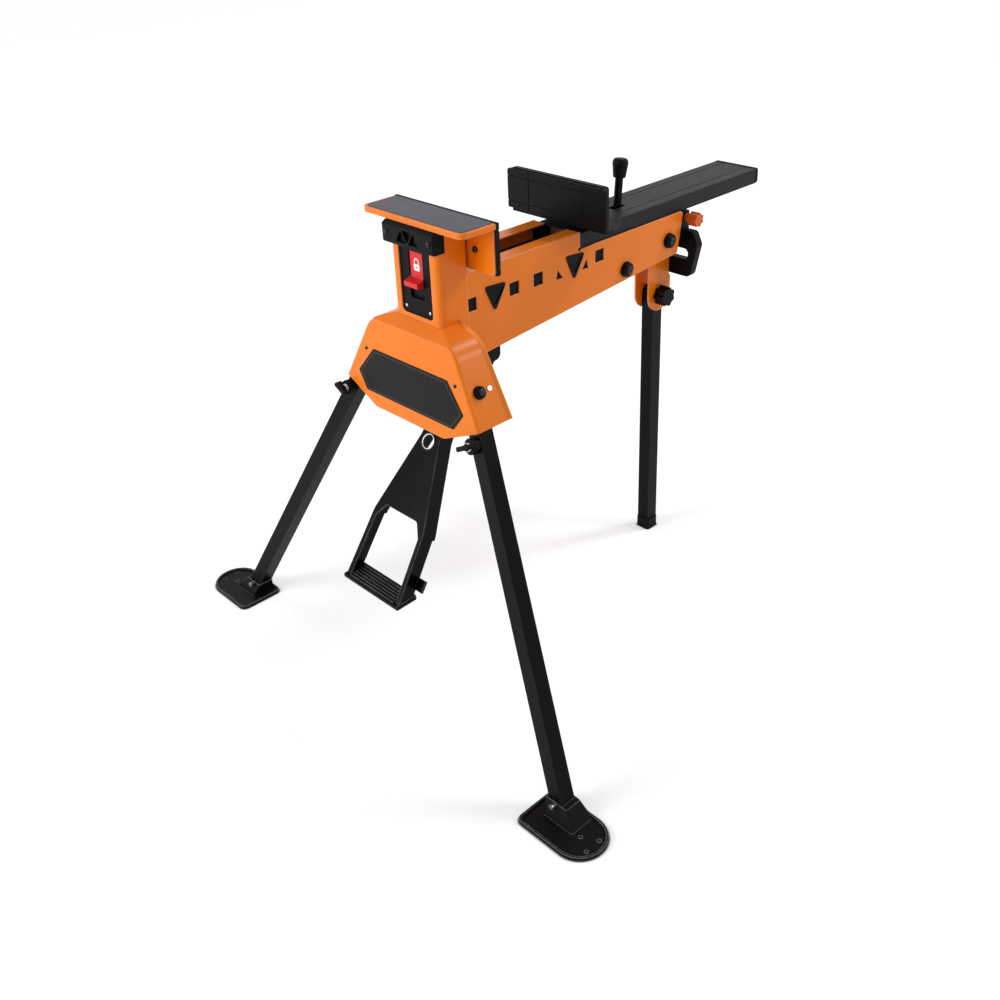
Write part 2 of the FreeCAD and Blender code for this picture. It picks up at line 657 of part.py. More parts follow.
def foot_outline(inset):
    """Plan of the right foot: flat inboard edge with rounded corners and a round outboard end."""
    inboard = FOOT_CENTRE.x - FOOT_LENGTH / 2 + inset
    tip = FOOT_CENTRE.x + FOOT_LENGTH / 2 - inset
    half = FOOT_DEPTH / 2 - inset
    front = FOOT_CENTRE.y - half
    rear = FOOT_CENTRE.y + half
    corner = 12 - inset
    end = half - 0.5
    return [(inboard, front, corner), (tip, front, end), (tip, rear, end), (inboard, rear, corner)]


def boss_ring(x, y, corner, z):
    """Rounded rectangle round the leg's end at a height, for the foot's tapered boss."""
    ring = outline(rectangle(x, y, corner, corner), "xy")
    ring.translate(V(LEG_END.x, LEG_END.y, z))
    return ring


def foot_plate():
    """Pressed right foot with a raised rim, a tapered boss round the leg's end and three fixing holes."""
    foot = prism(foot_outline(0), "xy", 0, FOOT_RIM)
    foot = foot.cut(prism(foot_outline(FOOT_RIM_WIDTH), "xy", SHEET, FOOT_RIM + 1))
    rings = [boss_ring((-20, 46), (-29, 24), 4, SHEET), boss_ring((-27, 21), (-15, 19), 3, FOOT_BOSS_Z)]
    foot = foot.fuse(Part.makeLoft(rings, True, True))
    foot = foot.cut(on_leg(leg_bar(LEG + 2 * FIT))).cut(on_leg(foot_pin_hole(FOOT_PIN_R + FIT)))
    for i in range(3):
        angle = math.pi + i * 2 * math.pi / 3
        spot = FOOT_HOLES + V(math.cos(angle), math.sin(angle), 0) * (FOOT_HOLE_PCD / 2)
        foot = foot.cut(rod(spot - Z_AXIS, spot + Z_AXIS * FOOT_RIM, FOOT_HOLE_R))
    return foot


def foot_pin():
    """Headed pin that holds the right foot to the leg."""
    z = FOOT_PIN_UP - LEG_LENGTH
    pin = rod(V(0, -25, z), V(0, 18, z), FOOT_PIN_R)
    return on_leg(pin.fuse(rod(V(0, -27.5, z), V(0, -25, z), 4.8)))


def rear_leg_bracket():
    """Folded bracket under the beam's rear end: two plates with round lower ends and a web between them."""
    front = REAR_PIVOT_Y - REAR_BRACKET_R
    rear = REAR_PIVOT_Y + REAR_BRACKET_R
    low = REAR_PIVOT_Z - REAR_BRACKET_R
    inner = LEG / 2 + LEG_GAP
    round_end = REAR_BRACKET_R - 0.1
    web_rear = BEAM_REAR_LOW_Y - 8
    front_z = beam_floor(front)
    web_z = beam_floor(web_rear)
    upper_y = HANDLE_FRONT_Y - 1
    side = [(front, front_z), (front, low, round_end), (rear, low, round_end), (rear, HANDLE_LOW_Z - 8),
            (upper_y, HANDLE_LOW_Z - 2), (upper_y, HANDLE_LOW_Z + 30), (web_rear, web_z)]
    plate = prism(side, "yz", inner, inner + SHEET)
    sheet = [(front, front_z), (front, front_z - SHEET), (web_rear, web_z - SHEET), (web_rear, web_z)]
    web = prism(sheet, "yz", 0, inner)
    return both(plate.fuse(web)).cut(cross_rod(60, REAR_PIVOT_Y, REAR_PIVOT_Z, PIVOT_R + FIT))


def rear_leg_tube():
    """Square tube of the rear leg with a round top end on its clamp bolt."""
    half = LEG / 2
    inner = half - LEG_WALL
    y = REAR_PIVOT_Y
    bar = box((-half, half), (y - half, y + half), (5, REAR_PIVOT_Z))
    tube = bar.fuse(cross_rod(half, y, REAR_PIVOT_Z, half)).removeSplitter()
    tube = tube.cut(box((-inner, inner), (y - inner, y + inner), (0, REAR_PIVOT_Z + 6)))
    return tube.cut(cross_rod(60, y, REAR_PIVOT_Z, PIVOT_R + FIT))


def rear_leg_foot():
    """Moulded cap on the rear leg's end with a rounded sole."""
    half = LEG / 2 + 2
    y = REAR_PIVOT_Y
    cap = prism(rectangle((-half, half), (y - half, y + half), 4, 4), "xy", 0, 26)
    inner = LEG / 2 + FIT
    return cap.cut(box((-inner, inner), (y - inner, y + inner), (5, 27)))


def rear_leg_knob():
    """Clamp bolt through bracket and leg with a lobed hand knob on the right."""
    y = REAR_PIVOT_Y
    z = REAR_PIVOT_Z
    plate = LEG / 2 + LEG_GAP + SHEET
    bolt = rod(V(-plate - 1, y, z), V(plate + 2, y, z), PIVOT_R)
    bolt = bolt.fuse(rod(V(-plate - 7, y, z), V(-plate - 0.5, y, z), 9))
    knob = placed(fluted(REAR_KNOB_LENGTH, REAR_KNOB_R, 7, 9, 3.5), FreeCAD.Rotation(), V(plate + 1.5, y, z))
    boss = rod(V(plate + 0.5, y, z), V(plate + 2, y, z), 10)
    return bolt.fuse(boss).fuse(knob)


def rear_end_housing():
    """Moulded block that closes the beam's rear end below the deck."""
    step_z = HANDLE_TOP_Z + 1
    side = [(HOUSING_FRONT_Y, HOUSING_LOW_Z), (HANDLE_FRONT_Y, HOUSING_LOW_Z), (HANDLE_FRONT_Y, step_z),
            (HOUSING_REAR_Y, step_z), (HOUSING_REAR_Y, HOUSING_TOP_Z, 4), (HOUSING_FRONT_Y, HOUSING_TOP_Z)]
    half = BEAM_INNER - 0.5
    block = prism(side, "yz", -half, half)
    hole = rod(V(half - 20, LOCK_KNOB_Y, LOCK_KNOB_Z), V(half + 1, LOCK_KNOB_Y, LOCK_KNOB_Z), 4 + FIT)
    return block.cut(hole)


def carry_handle():
    """Moulded loop across the rear end with a finger slot and rounded edges."""
    rear = HANDLE_FRONT_Y + HANDLE_DEPTH
    bulge = SLOT_TOP_Z + 12
    corners = [(-78, HANDLE_TOP_Z, 10), (78, HANDLE_TOP_Z, 10), (91, bulge, 12), (74, HANDLE_LOW_Z, 14),
               (-74, HANDLE_LOW_Z, 14), (-91, bulge, 12)]
    slot = rectangle((-SLOT_HALF, SLOT_HALF), (SLOT_LOW_Z, SLOT_TOP_Z), 10, 10)
    ring = prism(corners, "xz", HANDLE_FRONT_Y, rear).cut(prism(slot, "xz", HANDLE_FRONT_Y - 1, rear + 1))
    rims = [edge for edge in ring.Edges if edge.BoundBox.YMin > rear - 0.1]
    return ring.makeFillet(7, rims)


def handle_screws():
    """Four screws on the handle's front face."""
    upper = screw_head(V(74, HANDLE_FRONT_Y, HANDLE_TOP_Z - 20), FORWARD, 5, 2)
    lower = screw_head(V(68, HANDLE_FRONT_Y, HANDLE_LOW_Z + 19), FORWARD, 5, 2)
    return Part.makeCompound([upper, lower, mirrored(upper), mirrored(lower)])


def slide_lock_knob():
    """Lobed knob on a slim collar at the right of the rear end that locks the slide."""
    centre = V(BEAM_INNER - 0.5, LOCK_KNOB_Y, LOCK_KNOB_Z)
    grip_start = centre + X_AXIS * LOCK_KNOB_OUT
    shank = rod(centre - X_AXIS * 16, grip_start, 4)
    collar = rod(centre + X_AXIS, grip_start, 8)
    grip = placed(fluted(22, LOCK_KNOB_R, 7, 7, 3), FreeCAD.Rotation(), grip_start)
    return shank.fuse(collar).fuse(grip)


def on_pedal(shape):
    """A piece built about the pedal's pivot, with the pedal hanging down, carried to its rest place."""
    return placed(shape, PEDAL_TURN, PEDAL_PIVOT)


def on_tread(shape):
    """A piece built level about the middle of the tread's top, tilted into its place."""
    return placed(shape, FreeCAD.Rotation(X_AXIS, TREAD_TILT), V(0, TREAD_Y, TREAD_Z))


def pedal_outline(inset, top, low):
    """Right edge of the pedal from top to foot: a narrow neck that flares out to the tread."""
    neck = PEDAL_NECK_HALF - inset
    edge = [(neck, -top), (neck, -140, 60), (71 - inset, -311, 60), (78 - inset, -460), (78 - inset, -low)]
    if low <= 460:
        edge = edge[:-1]
    return edge + [(-p[0], p[1]) + tuple(p[2:]) for p in reversed(edge)]


def pedal_plate():
    """Pressed pedal: a flared plate with side flanges, a foot opening and a rimmed hole near the top."""
    half = PEDAL_FLANGE / 2
    shell = prism(pedal_outline(0, -20, 460), "xz", -half, half)
    shell = shell.cut(prism(pedal_outline(SHEET, -30, 470), "xz", -half + SHEET, half + 1))
    opening = [(-44, -295, 8), (44, -295, 8), (62, -322, 8), (68, -470), (-68, -470), (-62, -322, 8)]
    shell = shell.cut(prism(opening, "xz", -half - 1, -half + SHEET + 1))
    rim = Part.makeCylinder(17, 1.5, V(0, -half, -152), FORWARD)
    shell = shell.fuse(rim).cut(Part.makeCylinder(13, 12, V(0, -half + SHEET + 1, -152), FORWARD))
    corner = prism([(half - 14, 30), (half + 1, 30), (half + 1, 4), (half - 14, 18)], "yz", -40, 40)
    foot = box((-90, 90), (half - 5, half + 1), (-470, -318))
    notch = box((-15, 15), (-half - 1, -half + SHEET + 1), (-12, 40))
    shell = shell.cut(corner).cut(foot).cut(notch).cut(cross_rod(60, 0, 0, PEDAL_PIN_R + FIT))
    tab = box((72, 96), (half - 9, half - 5), (-412, -389))
    shell = shell.fuse(tab).fuse(mirrored(tab))
    return on_pedal(shell).cut(on_tread(box((-100, 100), (-60, 80), (-120, 0))))


def pedal_tread():
    """Step at the pedal's foot with raised ribs across it."""
    half = TREAD_DEPTH / 2
    low = -TREAD_THICK
    tread = prism([(-half, low, 4), (half, low), (half, 0), (-half, 0, 3)], "yz", -TREAD_HALF, TREAD_HALF)
    reach = TREAD_HALF - 14
    for i in range(6):
        y = (i - 2.7) * 7
        rib = prism([(y - 1.6, -1), (y + 1.6, -1), (y + 0.8, 1.8), (y - 0.8, 1.8)], "yz", -reach, reach)
        tread = tread.fuse(rib)
    return on_tread(tread)


def pedal_arm():
    """Sleeve and two cheeks behind the pedal that carry the pin for the pull rod."""
    y = ARM_PIN.y
    z = ARM_PIN.z
    back = SHEET - PEDAL_FLANGE / 2
    side = [(back, -55), (12, -8, 8), (y + 12, z - 4, 8), (y + 8, z + 12, 8), (y - 12, z + 10, 8), (back, -4)]
    cheek = prism(side, "yz", EYE_HALF + 2, EYE_HALF + 6)
    sleeve = cross_rod(PEDAL_NECK_HALF - SHEET - SLIP, 0, 0, 11)
    arm = cheek.fuse(mirrored(cheek)).fuse(sleeve).fuse(cross_rod(EYE_HALF + 6, y, z, PEDAL_PIN_R))
    return on_pedal(arm.cut(cross_rod(60, 0, 0, PEDAL_PIN_R + FIT)))


def pedal_pivot_pin():
    """Pin across the bracket that the pedal turns on, with a head at each end."""
    reach = PEDAL_BRACKET_X + SHEET
    head = rod(V(reach, PEDAL_PIVOT_Y, PEDAL_PIVOT_Z), V(reach + 4, PEDAL_PIVOT_Y, PEDAL_PIVOT_Z), 9)
    return cross_rod(reach, PEDAL_PIVOT_Y, PEDAL_PIVOT_Z, PEDAL_PIN_R).fuse(head).fuse(mirrored(head))


def pedal_bracket():
    """Two plates inside the beam that carry the pedal's pin, with a flange to each wall."""
    z = PEDAL_PIVOT_Z
    top = z + 99
    side = [(-15, top), (-15, z - 6, 15), (0, z - 23, 12), (38, z - 23, 15), (58, z + 11, 10),
            (75, z + 11, 12), (75, top)]
    plate = prism(side, "yz", PEDAL_BRACKET_X, PEDAL_BRACKET_X + SHEET)
    plate = plate.cut(cross_rod(60, PEDAL_PIVOT_Y, PEDAL_PIVOT_Z, PEDAL_PIN_R + FIT))
    flange = box((PEDAL_BRACKET_X + SHEET, BEAM_INNER), (60, 63), (z + 54, top))
    return pair(plate.fuse(flange))


def pedal_return_spring():
    """Coil round the pedal's pin, as quarter-turn arcs swept by a round wire."""
    wire_r = 1.3
    radius = 9.6
    turns = 3
    start = PEDAL_NECK_HALF + 1 + wire_r
    pitch = (PEDAL_BRACKET_X - 1 - wire_r - start) / turns

    def along(turn):
        angle = 2 * math.pi * turn
        return PEDAL_PIVOT + V(start + pitch * turn, radius * math.cos(angle), radius * math.sin(angle))

    quarters = []
    for i in range(4 * turns):
        arc = Part.Arc(along(i / 4), along(i / 4 + 0.125), along(i / 4 + 0.25))
        quarters.append(arc.toShape())
    ring = Part.Wire(Part.makeCircle(wire_r, along(0), V(pitch, 0, 2 * math.pi * radius)))
    print("spring gap between turns", round(pitch - 2 * wire_r, 2))
    return Part.Wire(quarters).makePipeShell([ring], True, False)


def pull_rod():
    """Rod from the pedal's arm to the drive carriage, with a slotted eye round the arm's pin."""
    y = ARM_PIN_PLACE.y
    z = ARM_PIN_PLACE.z + 1.4
    slot = PEDAL_PIN_R + 0.4
    eye = prism(rectangle((y - 13, y + 18), (z - 17, z + 17), 6, 6), "yz", -EYE_HALF, EYE_HALF)
    eye = eye.cut(prism(rectangle((y - slot, y + slot), (z - 10, z + 10), 2, 2), "yz", -9, 9))
    return eye.fuse(rod(V(0, y + 14, z), V(0, CARRIAGE_FRONT_Y, z), 5))


def drive_carriage():
    """Open-topped box under the drive bar that holds the locking dogs."""
    wall = 4
    half = CARRIAGE_HALF
    front = CARRIAGE_FRONT_Y
    rear = CARRIAGE_REAR_Y
    low = CARRIAGE_LOW_Z
    outer = box((-half, half), (front, rear), (low, CARRIAGE_TOP_Z))
    inner = box((wall - half, half - wall), (front + wall, rear - wall), (low + wall, CARRIAGE_TOP_Z + 1))
    return outer.cut(inner)


def locking_dogs():
    """Tilted forks that stand in the carriage astride the drive bar and grip it when the carriage pulls."""
    reach = BAR_HALF + DOG_ROOM
    passage = box((-reach, reach), (0, 600), (BAR_LOW_Z - DOG_ROOM, BAR_TOP_Z + 20))
    fork = box((-20, 20), (-3, 3), (-53, 7)).fuse(box((-31, 31), (-3, 3), (-8, 18))).removeSplitter()
    plates = []
    for y in DOG_YS:
        plate = placed(fork, FreeCAD.Rotation(X_AXIS, DOG_TILT), V(0, y, BAR_LOW_Z))
        plates.append(plate.cut(passage))
    return Part.makeCompound(plates)


def drive_bar():
    """Two flat bars inside the deck, hung from a block at each end."""
    front = DECK_FRONT_Y + 4
    rear = DECK_REAR_Y - 4
    bar = box((BAR_INNER, BAR_HALF), (front, rear), (BAR_LOW_Z, BAR_TOP_Z))
    for start in (front, rear - BAR_BLOCK):
        bar = bar.fuse(box((0, BAR_HALF), (start, start + BAR_BLOCK), (BAR_LOW_Z, DECK_TOP_Z - SHEET)))
    return both(bar)


def slide_deck():
    """Long inverted channel with inward lips, grooved on top and slotted for the lever."""
    low = DECK_LOW_Z
    top = DECK_TOP_Z
    inner = DECK_HALF - SHEET
    deck = prism(rectangle((-DECK_HALF, DECK_HALF), (low, top), 0, 3), "xz", DECK_FRONT_Y, DECK_REAR_Y)
    ends = (DECK_FRONT_Y - 1, DECK_REAR_Y + 1)
    deck = deck.cut(box((-inner, inner), ends, (low + SHEET, top - SHEET)))
    deck = deck.cut(box((-RAIL_INNER_X, RAIL_INNER_X), ends, (low - 1, low + SHEET + 1)))
    for x, width, depth in ((-30, 3, 1), (-15, 0.8, 0.6), (0, 0.8, 0.6), (15, 0.8, 0.6), (30, 3, 1)):
        deck = deck.cut(box((x - width / 2, x + width / 2), ends, (top - depth, top + 1)))
    slot = LEVER_LUG_X - 1
    deck = deck.cut(box((-slot, slot), (LEVER_Y - 20, LEVER_Y + 18), (top - SHEET - 1, top + 1)))
    tab = rectangle((LEVER_Y - 9, LEVER_Y + 9), (LEVER_PIVOT_Z - 8, top - SHEET), 7, 0)
    lug = prism(tab, "yz", LEVER_LUG_X, LEVER_LUG_X + SHEET)
    lug = lug.cut(cross_rod(20, LEVER_Y, LEVER_PIVOT_Z, LEVER_PIN_R + FIT))
    return deck.fuse(lug).fuse(mirrored(lug))


def deck_end_cap():
    """Moulded cap on the deck's rear end."""
    half = DECK_HALF + 0.5
    face = rectangle((-half, half), (DECK_LOW_Z + 0.5, DECK_TOP_Z + 1), 3, 5)
    return prism(face, "xz", DECK_REAR_Y, DECK_REAR_Y + DECK_CAP_THICK)


def jaw_plate():
    """Moving jaw: an upright plate with a flange along its foot, on a ribbed neck down to the deck."""
    front = JAW_FACE_Y + JAW_FACE_THICK
    half = JAW_WIDTH / 2 - JAW_PLATE_IN
    low = JAW_LOW_Z - JAW_FLANGE_DROP
    plate = prism(rectangle((-half, half), (low, JAW_TOP_Z + 2), 0, 6), "xz", front, JAW_REAR_Y)
    wide = JAW_REAR_Y + 14
    plan = [(-half, front), (half, front), (half, wide, 6), (half - 16, JAW_FLANGE_Y, 6),
            (16 - half, JAW_FLANGE_Y, 6), (-half, wide, 6)]
    flange = prism(plan, "xy", low, low + 5)
    neck = box((-NECK_HALF, NECK_HALF), (front, JAW_REAR_Y + NECK_LENGTH), (DECK_TOP_Z, low + 2))
    rear = JAW_REAR_Y + NECK_LENGTH - 4
    foot_z = low + 2
    side = [(JAW_REAR_Y, foot_z), (rear, foot_z), (rear, foot_z + 9, 6), (JAW_REAR_Y, JAW_TOP_Z - 10)]
    rib = prism(side, "yz", NECK_HALF - 8, NECK_HALF)
    back = plate.fuse(flange).fuse(neck).fuse(rib).fuse(mirrored(rib))
    web = [(JAW_REAR_Y - 1, low + 4), (JAW_REAR_Y + 8, low + 4),
           (JAW_REAR_Y + 8, JAW_TOP_Z - 14), (JAW_REAR_Y - 1, JAW_TOP_Z - 6)]
    for x in (-90, -60, 60, 90):
        back = back.fuse(prism(web, "yz", x - 2, x + 2))
    return back.removeSplitter()


def jaw_face():
    """Clamping face of the moving jaw, with shallow grooves that divide it into panels."""
    half = JAW_WIDTH / 2
    edge = rectangle((-half, half), (JAW_LOW_Z, JAW_TOP_Z), 3, 6)
    face = prism(edge, "xz", JAW_FACE_Y, JAW_FACE_Y + JAW_FACE_THICK)
    depth = (JAW_FACE_Y - 1, JAW_FACE_Y + 1.2)
    for z in (JAW_LOW_Z + 14, JAW_TOP_Z - 14):
        face = face.cut(box((-half - 1, half + 1), depth, (z - 1.2, z + 1.2)))
    for x in (-70, 70):
        face = face.cut(box((x - 1.2, x + 1.2), depth, (JAW_LOW_Z - 1, JAW_TOP_Z + 1)))
    return face


def lever_pin():
    """Pin under the deck that the jaw lever turns on."""
    return cross_rod(LEVER_LUG_X + SHEET, LEVER_Y, LEVER_PIVOT_Z, LEVER_PIN_R)


def on_lever(shape):
    """A piece built about the lever's pin, standing up, leaned back to its rest place."""
    return placed(shape, LEVER_TURN, LEVER_PIVOT)


def lever_stem():
    """Round lever on a hub about its pin."""
    height = LEVER_TOP_Z - LEVER_PIVOT_Z - LEVER_KNOB_LENGTH
    stem = rod(V(0, 0, 0), V(0, 0, height + 6), LEVER_R).fuse(cross_rod(LEVER_LUG_X - 1.5, 0, 0, LEVER_R))
    return on_lever(stem.cut(cross_rod(20, 0, 0, LEVER_PIN_R + FIT)))


def lever_knob():
    """Tapered knob with a domed top on the lever."""
    high = LEVER_TOP_Z - LEVER_PIVOT_Z
    low = high - LEVER_KNOB_LENGTH
    edge = outline([(0, low), (12.5, low, 2), (16, high - 9, 5), (14, high, 6), (0, high)], "xz")
    knob = Part.Face(edge).revolve(V(0, 0, 0), Z_AXIS, 360)
    return on_lever(knob.cut(rod(V(0, 0, low - 1), V(0, 0, low + 6.2), LEVER_R + FIT)))


def sides(name, shape):
    """A right-hand piece and its mirror image as two nodes."""
    return {name + "_right": shape, name + "_left": mirrored(shape)}


nodes = {}
for make in (main_beam, beam_inserts, guide_rails, cross_bolts, head_column, head_plate, head_cover,
             fixed_jaw_pad, pad_screws, front_grip, grip_screws, switch_panel, panel_screws, lock_switch,
             hub_housing, hub_panel, hub_screws, leg_brackets, leg_pivot_bolts, leg_stop_pins,
             rear_leg_bracket, rear_leg_tube, rear_leg_foot, rear_leg_knob, rear_end_housing, carry_handle,
             handle_screws, slide_lock_knob, pedal_plate, pedal_tread, pedal_arm, pedal_pivot_pin,
             pedal_bracket, pedal_return_spring, pull_rod, drive_carriage, locking_dogs, drive_bar,
             slide_deck, deck_end_cap, jaw_plate, jaw_face, lever_pin, lever_stem, lever_knob):
    nodes[make.__name__] = make()
for make in (leg_tube, lock_collar, leg_lock, foot_plate, foot_pin):
    nodes.update(sides(make.__name__, make()))

os.makedirs("parts", exist_ok=True)
for name, shape in nodes.items():
    shape.translate(V(0, -MIDDLE_Y, 0))
    shape.exportStep("parts/" + name + ".step")
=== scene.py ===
"""Looks of a portable clamping stand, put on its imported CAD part.

Meshes are in metres, in the part's own frame. Named lengths are in millimetres unless their comment
says metres.
"""
import bmesh
import bpy
import json
import numpy as np
from mathutils import Matrix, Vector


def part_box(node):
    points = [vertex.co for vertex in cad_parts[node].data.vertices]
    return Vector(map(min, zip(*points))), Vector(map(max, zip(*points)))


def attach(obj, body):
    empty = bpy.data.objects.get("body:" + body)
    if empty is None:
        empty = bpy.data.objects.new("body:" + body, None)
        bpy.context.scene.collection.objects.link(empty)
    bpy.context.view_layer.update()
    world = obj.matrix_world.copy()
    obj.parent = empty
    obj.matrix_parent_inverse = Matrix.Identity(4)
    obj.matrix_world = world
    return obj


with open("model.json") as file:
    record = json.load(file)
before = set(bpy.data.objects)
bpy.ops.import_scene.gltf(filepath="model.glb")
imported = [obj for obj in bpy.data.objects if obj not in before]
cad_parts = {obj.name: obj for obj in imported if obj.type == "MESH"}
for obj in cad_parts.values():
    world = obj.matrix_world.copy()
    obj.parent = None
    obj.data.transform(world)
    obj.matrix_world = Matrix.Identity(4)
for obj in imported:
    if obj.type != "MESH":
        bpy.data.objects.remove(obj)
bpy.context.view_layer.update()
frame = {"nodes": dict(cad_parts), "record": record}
scene = bpy.context.scene
nodes = frame["nodes"]
record = frame["record"]
joints = {joint["name"]: joint for joint in record["behaviour"]["joints"]}
MM = 0.001
MERGE_REACH = 1e-6

# Camera of the photograph, in metres: its place, with the depth from the fixed jaw's face, its three
# directions, its focal length in picture widths, and how far the lens's centre lies above the picture's
# middle.
JAW_Y = next(mount["pos_m"][1] for mount in record["mounts"] if mount["name"] == "fixed_jaw")
CAMERA_PLACE = (1.43320, -1.22239 + JAW_Y, 1.48280)
CAMERA_RIGHT = (0.69343142, 0.71949743, -0.03842286)
CAMERA_UP = (-0.29864075, 0.33553326, 0.89343782)
CAMERA_FORWARD = (-0.65571836, 0.60806323, -0.44754056)
FOCAL_WIDTHS = 1.12533
CENTRE_RISE = 0.1
SENSOR_WIDTH = 36.0

# Hub housing, as in the part: the tilt of its front, its front and rear depths from the fixed jaw's face,
# its shoulder, the splay of its sides down to the elbow, its top beside the column, and, in metres, the
# middle of the shoulder's front.
HUB_TILT = np.radians(5.4)
HUB_FRONT = -103
HUB_REAR = -37
HUB_SHOULDER_HALF = 112.6
HUB_SHOULDER_Z = 714
HUB_SHOULDER_R = 60
HUB_SPLAY = np.radians(28.2)
HUB_ELBOW_Z = 584
HUB_TOP_Z = 731
COLUMN_HALF = 62.7
HUB_SHOULDER = np.array((0.0, JAW_Y + HUB_FRONT * MM, HUB_SHOULDER_Z * MM))

# Flared edge behind the hub: how far it stands out, its angle from the side, its thickness, its root in
# the wall, and its rings along the side, the arc and the slope. Close rings keep the end caps out of the
# shading.
LIP_REACH = 4.5
LIP_FLARE = np.radians(50)
LIP_THICK = 2.5
LIP_ROOT = 1
SIDE_RINGS = 40
ARC_RINGS = 24
SLOPE_RINGS = 10

# Panel on the hub's front: its corners across and up from the shoulder, and its thickness. Its border
# line: its outline as shares of the panel's, its corner radius, width and height.
PANEL_CORNERS = ((-144, -110), (-101, -58), (101, -58), (144, -110), (120, -143), (-120, -143))
PANEL_THICK = 1.2
BORDER_SHARE = (0.955, 0.90)
BORDER_CORNER_R = 4.0
BORDER_WIDE = 1.3
BORDER_PROUD = 0.25

# Ring in the pedal's neck: the pedal's lean at rest, the hole's distance from the pivot, the plate's
# front and its rim, and the ring's radius, half width, half height and lift.
PEDAL_REST = np.radians(33)
PEDAL_HOLE_DROP = 152
PEDAL_PLATE_FRONT = 17
PEDAL_RIM_PROUD = 1.5
RING_R = 13.9
RING_HALF_WIDE = 1.2
RING_HALF_TALL = 0.9
RING_LIFT = 0.2

# Sleeve of a leg lock: the collar's half depth, the gap to it, the sleeve's bore, outer radius, length
# and chamfer, the groove's radius, and the heights where the groove starts, meets its floor, leaves it
# and ends.
COLLAR_HALF = 7.5
SLEEVE_GAP = 0.6
SLEEVE_BORE_R = 6.05
SLEEVE_R = 8.0
SLEEVE_LONG = 5.6
SLEEVE_CHAMFER = 0.4
GROOVE_R = 7.3
GROOVE_HEIGHTS = (2.0, 2.5, 3.3, 3.8)

# Cross screws, in shares of the head's radius: the crown's height, the depth of its underside, the
# recess's depth, half width and half length, and the widths of its sloping sides and ends.
CROWN_HIGH = 0.24
CROWN_UNDER = 0.01
RECESS_DEEP = 0.21
RECESS_HALF_WIDE = 0.15
RECESS_HALF_LONG = 0.62
RECESS_SIDE = 0.06
RECESS_END = 0.10

# Screws in the caps: the pivot cap's face from the pivot, the bolt cap's radius, and the two screws'
# radii.
PIVOT_CAP_OUT = 29.5
BOLT_CAP_R = 16
PIVOT_SCREW_R = 6.4
BOLT_SCREW_R = 8.2

# Cheeks at the deck's front: depth, width, the step over the deck's side, the gap above and below, the
# rim's radius, and the power that squares the ellipse.
CHEEK_DEEP = 12
CHEEK_WIDTH = 16
CHEEK_OVER = 0.7
CHEEK_CLEAR = 0.6
CHEEK_ROUND = 1.5
CHEEK_SQUARE = 0.09

# Padlock sign: the depth of the switch's face from the fixed jaw's, the sign's distance below the
# switch's top, and its block, keyhole and shackle. Marks stand proud by one height and sink by a share of
# it.
SWITCH_FACE = -74.8
PADLOCK_DOWN = 25
PADLOCK_DROP = 3
BLOCK_HALF = (8.0, 6.5)
BLOCK_SQUARE = 0.35
KEYHOLE_HALF = (1.7, 2.3)
KEYHOLE_SQUARE = 1
KEYHOLE_PROUD = 0.05
SHACKLE_R = 5.2
SHACKLE_RISE = 7.5
SHACKLE_FOOT = 2.5
SHACKLE_WIDE = 2.6
MARK_PROUD = 0.35
MARK_SINK = 0.2

# Coated finishes: the size of the broad patches, the noise between little and much handling, the cosines
# between true and rounded normal from a plain edge to a fully lightened one, partly wear and partly painted
# highlight, the open room from groove to edge, the grooves' dust and painted shade, the spread of
# roughness, and the strength of the peel.
PATCH_MM = 71.4
PATCH_NOISE = (0.42, 0.66)
WEAR_AND_HIGHLIGHT_COSINES = (0.97, 0.80)
OPEN_ROOM = (0.70, 0.92)
GROOVE_SHADE = 0.3
ROUGH_SPREAD = 0.07
PEEL_STRENGTH = 0.4

# Plated finishes: the clouds' size and their change of roughness and shade, and the grit's size, depth and
# strength.
CLOUD_MM = 11.1
CLOUD_ROUGH = (-0.08, 0.1)
CLOUD_SHADE = 0.8
GRIT_MM = 1.11
GRIT_DEEP = 0.05
GRIT_STRENGTH = 0.2

# Colour sockets of a Mix node, which share their names with its other kinds.
MIX_SHARE = 0
MIX_FROM = 6
MIX_TO = 7
MIX_RESULT = 2

# Studio, in metres and watts: the floor's size, the distances over which its glow grows and the glow's
# two levels, its paper, the painted shade close under a foot, the world's light, and the lamps' places,
# targets, sizes and powers.
FLOOR_HALF = 9.0
FLOOR_FADE = (0.8, 2.6)
FLOOR_GLOW = (0.30, 0.60)
PAPER_WHITE = "#F2F2F2"
CONTACT_SHADE = "#202020"
CONTACT_REACH = 0.0045
CONTACT_POWER = 5.0
WORLD_LIGHT = 0.47
LAMPS = {
    "front": ((-1.2, -3.0, 1.6), (0, 0, 0.6), 1.5, 53),
    "right": ((2.3, 1.9, 2.2), (0, 0, 0.6), 0.45, 16),
    "left": ((-2.8, -0.8, 0.9), (0, 0, 0.4), 0.8, 8),
    "rear": ((0.8, 1.9, 3.0), (0, 0, 0.6), 0.45, 28),
}


def linear(code):
    """sRGB hex colour as linear RGBA."""
    parts = [int(code[i:i + 2], 16) / 255 for i in (1, 3, 5)]
    return [p / 12.92 if p <= 0.04045 else ((p + 0.055) / 1.055) ** 2.4 for p in parts] + [1.0]


def scaled(colour, share):
    """A linear colour times a share, with no part over one."""
    return [min(1.0, part * share) for part in colour[:3]] + [1.0]


def put(tree, kind, settings, links):
    """Adds a node, sets its options and socket values, and links sockets of earlier nodes to its
    inputs."""
    node = tree.nodes.new(kind)
    for key, value in settings.items():
        if isinstance(key, int) or key in node.inputs:
            node.inputs[key].default_value = value
        else:
            setattr(node, key, value)
    for key, source in links.items():
        tree.links.new(source, node.inputs[key])
    return node


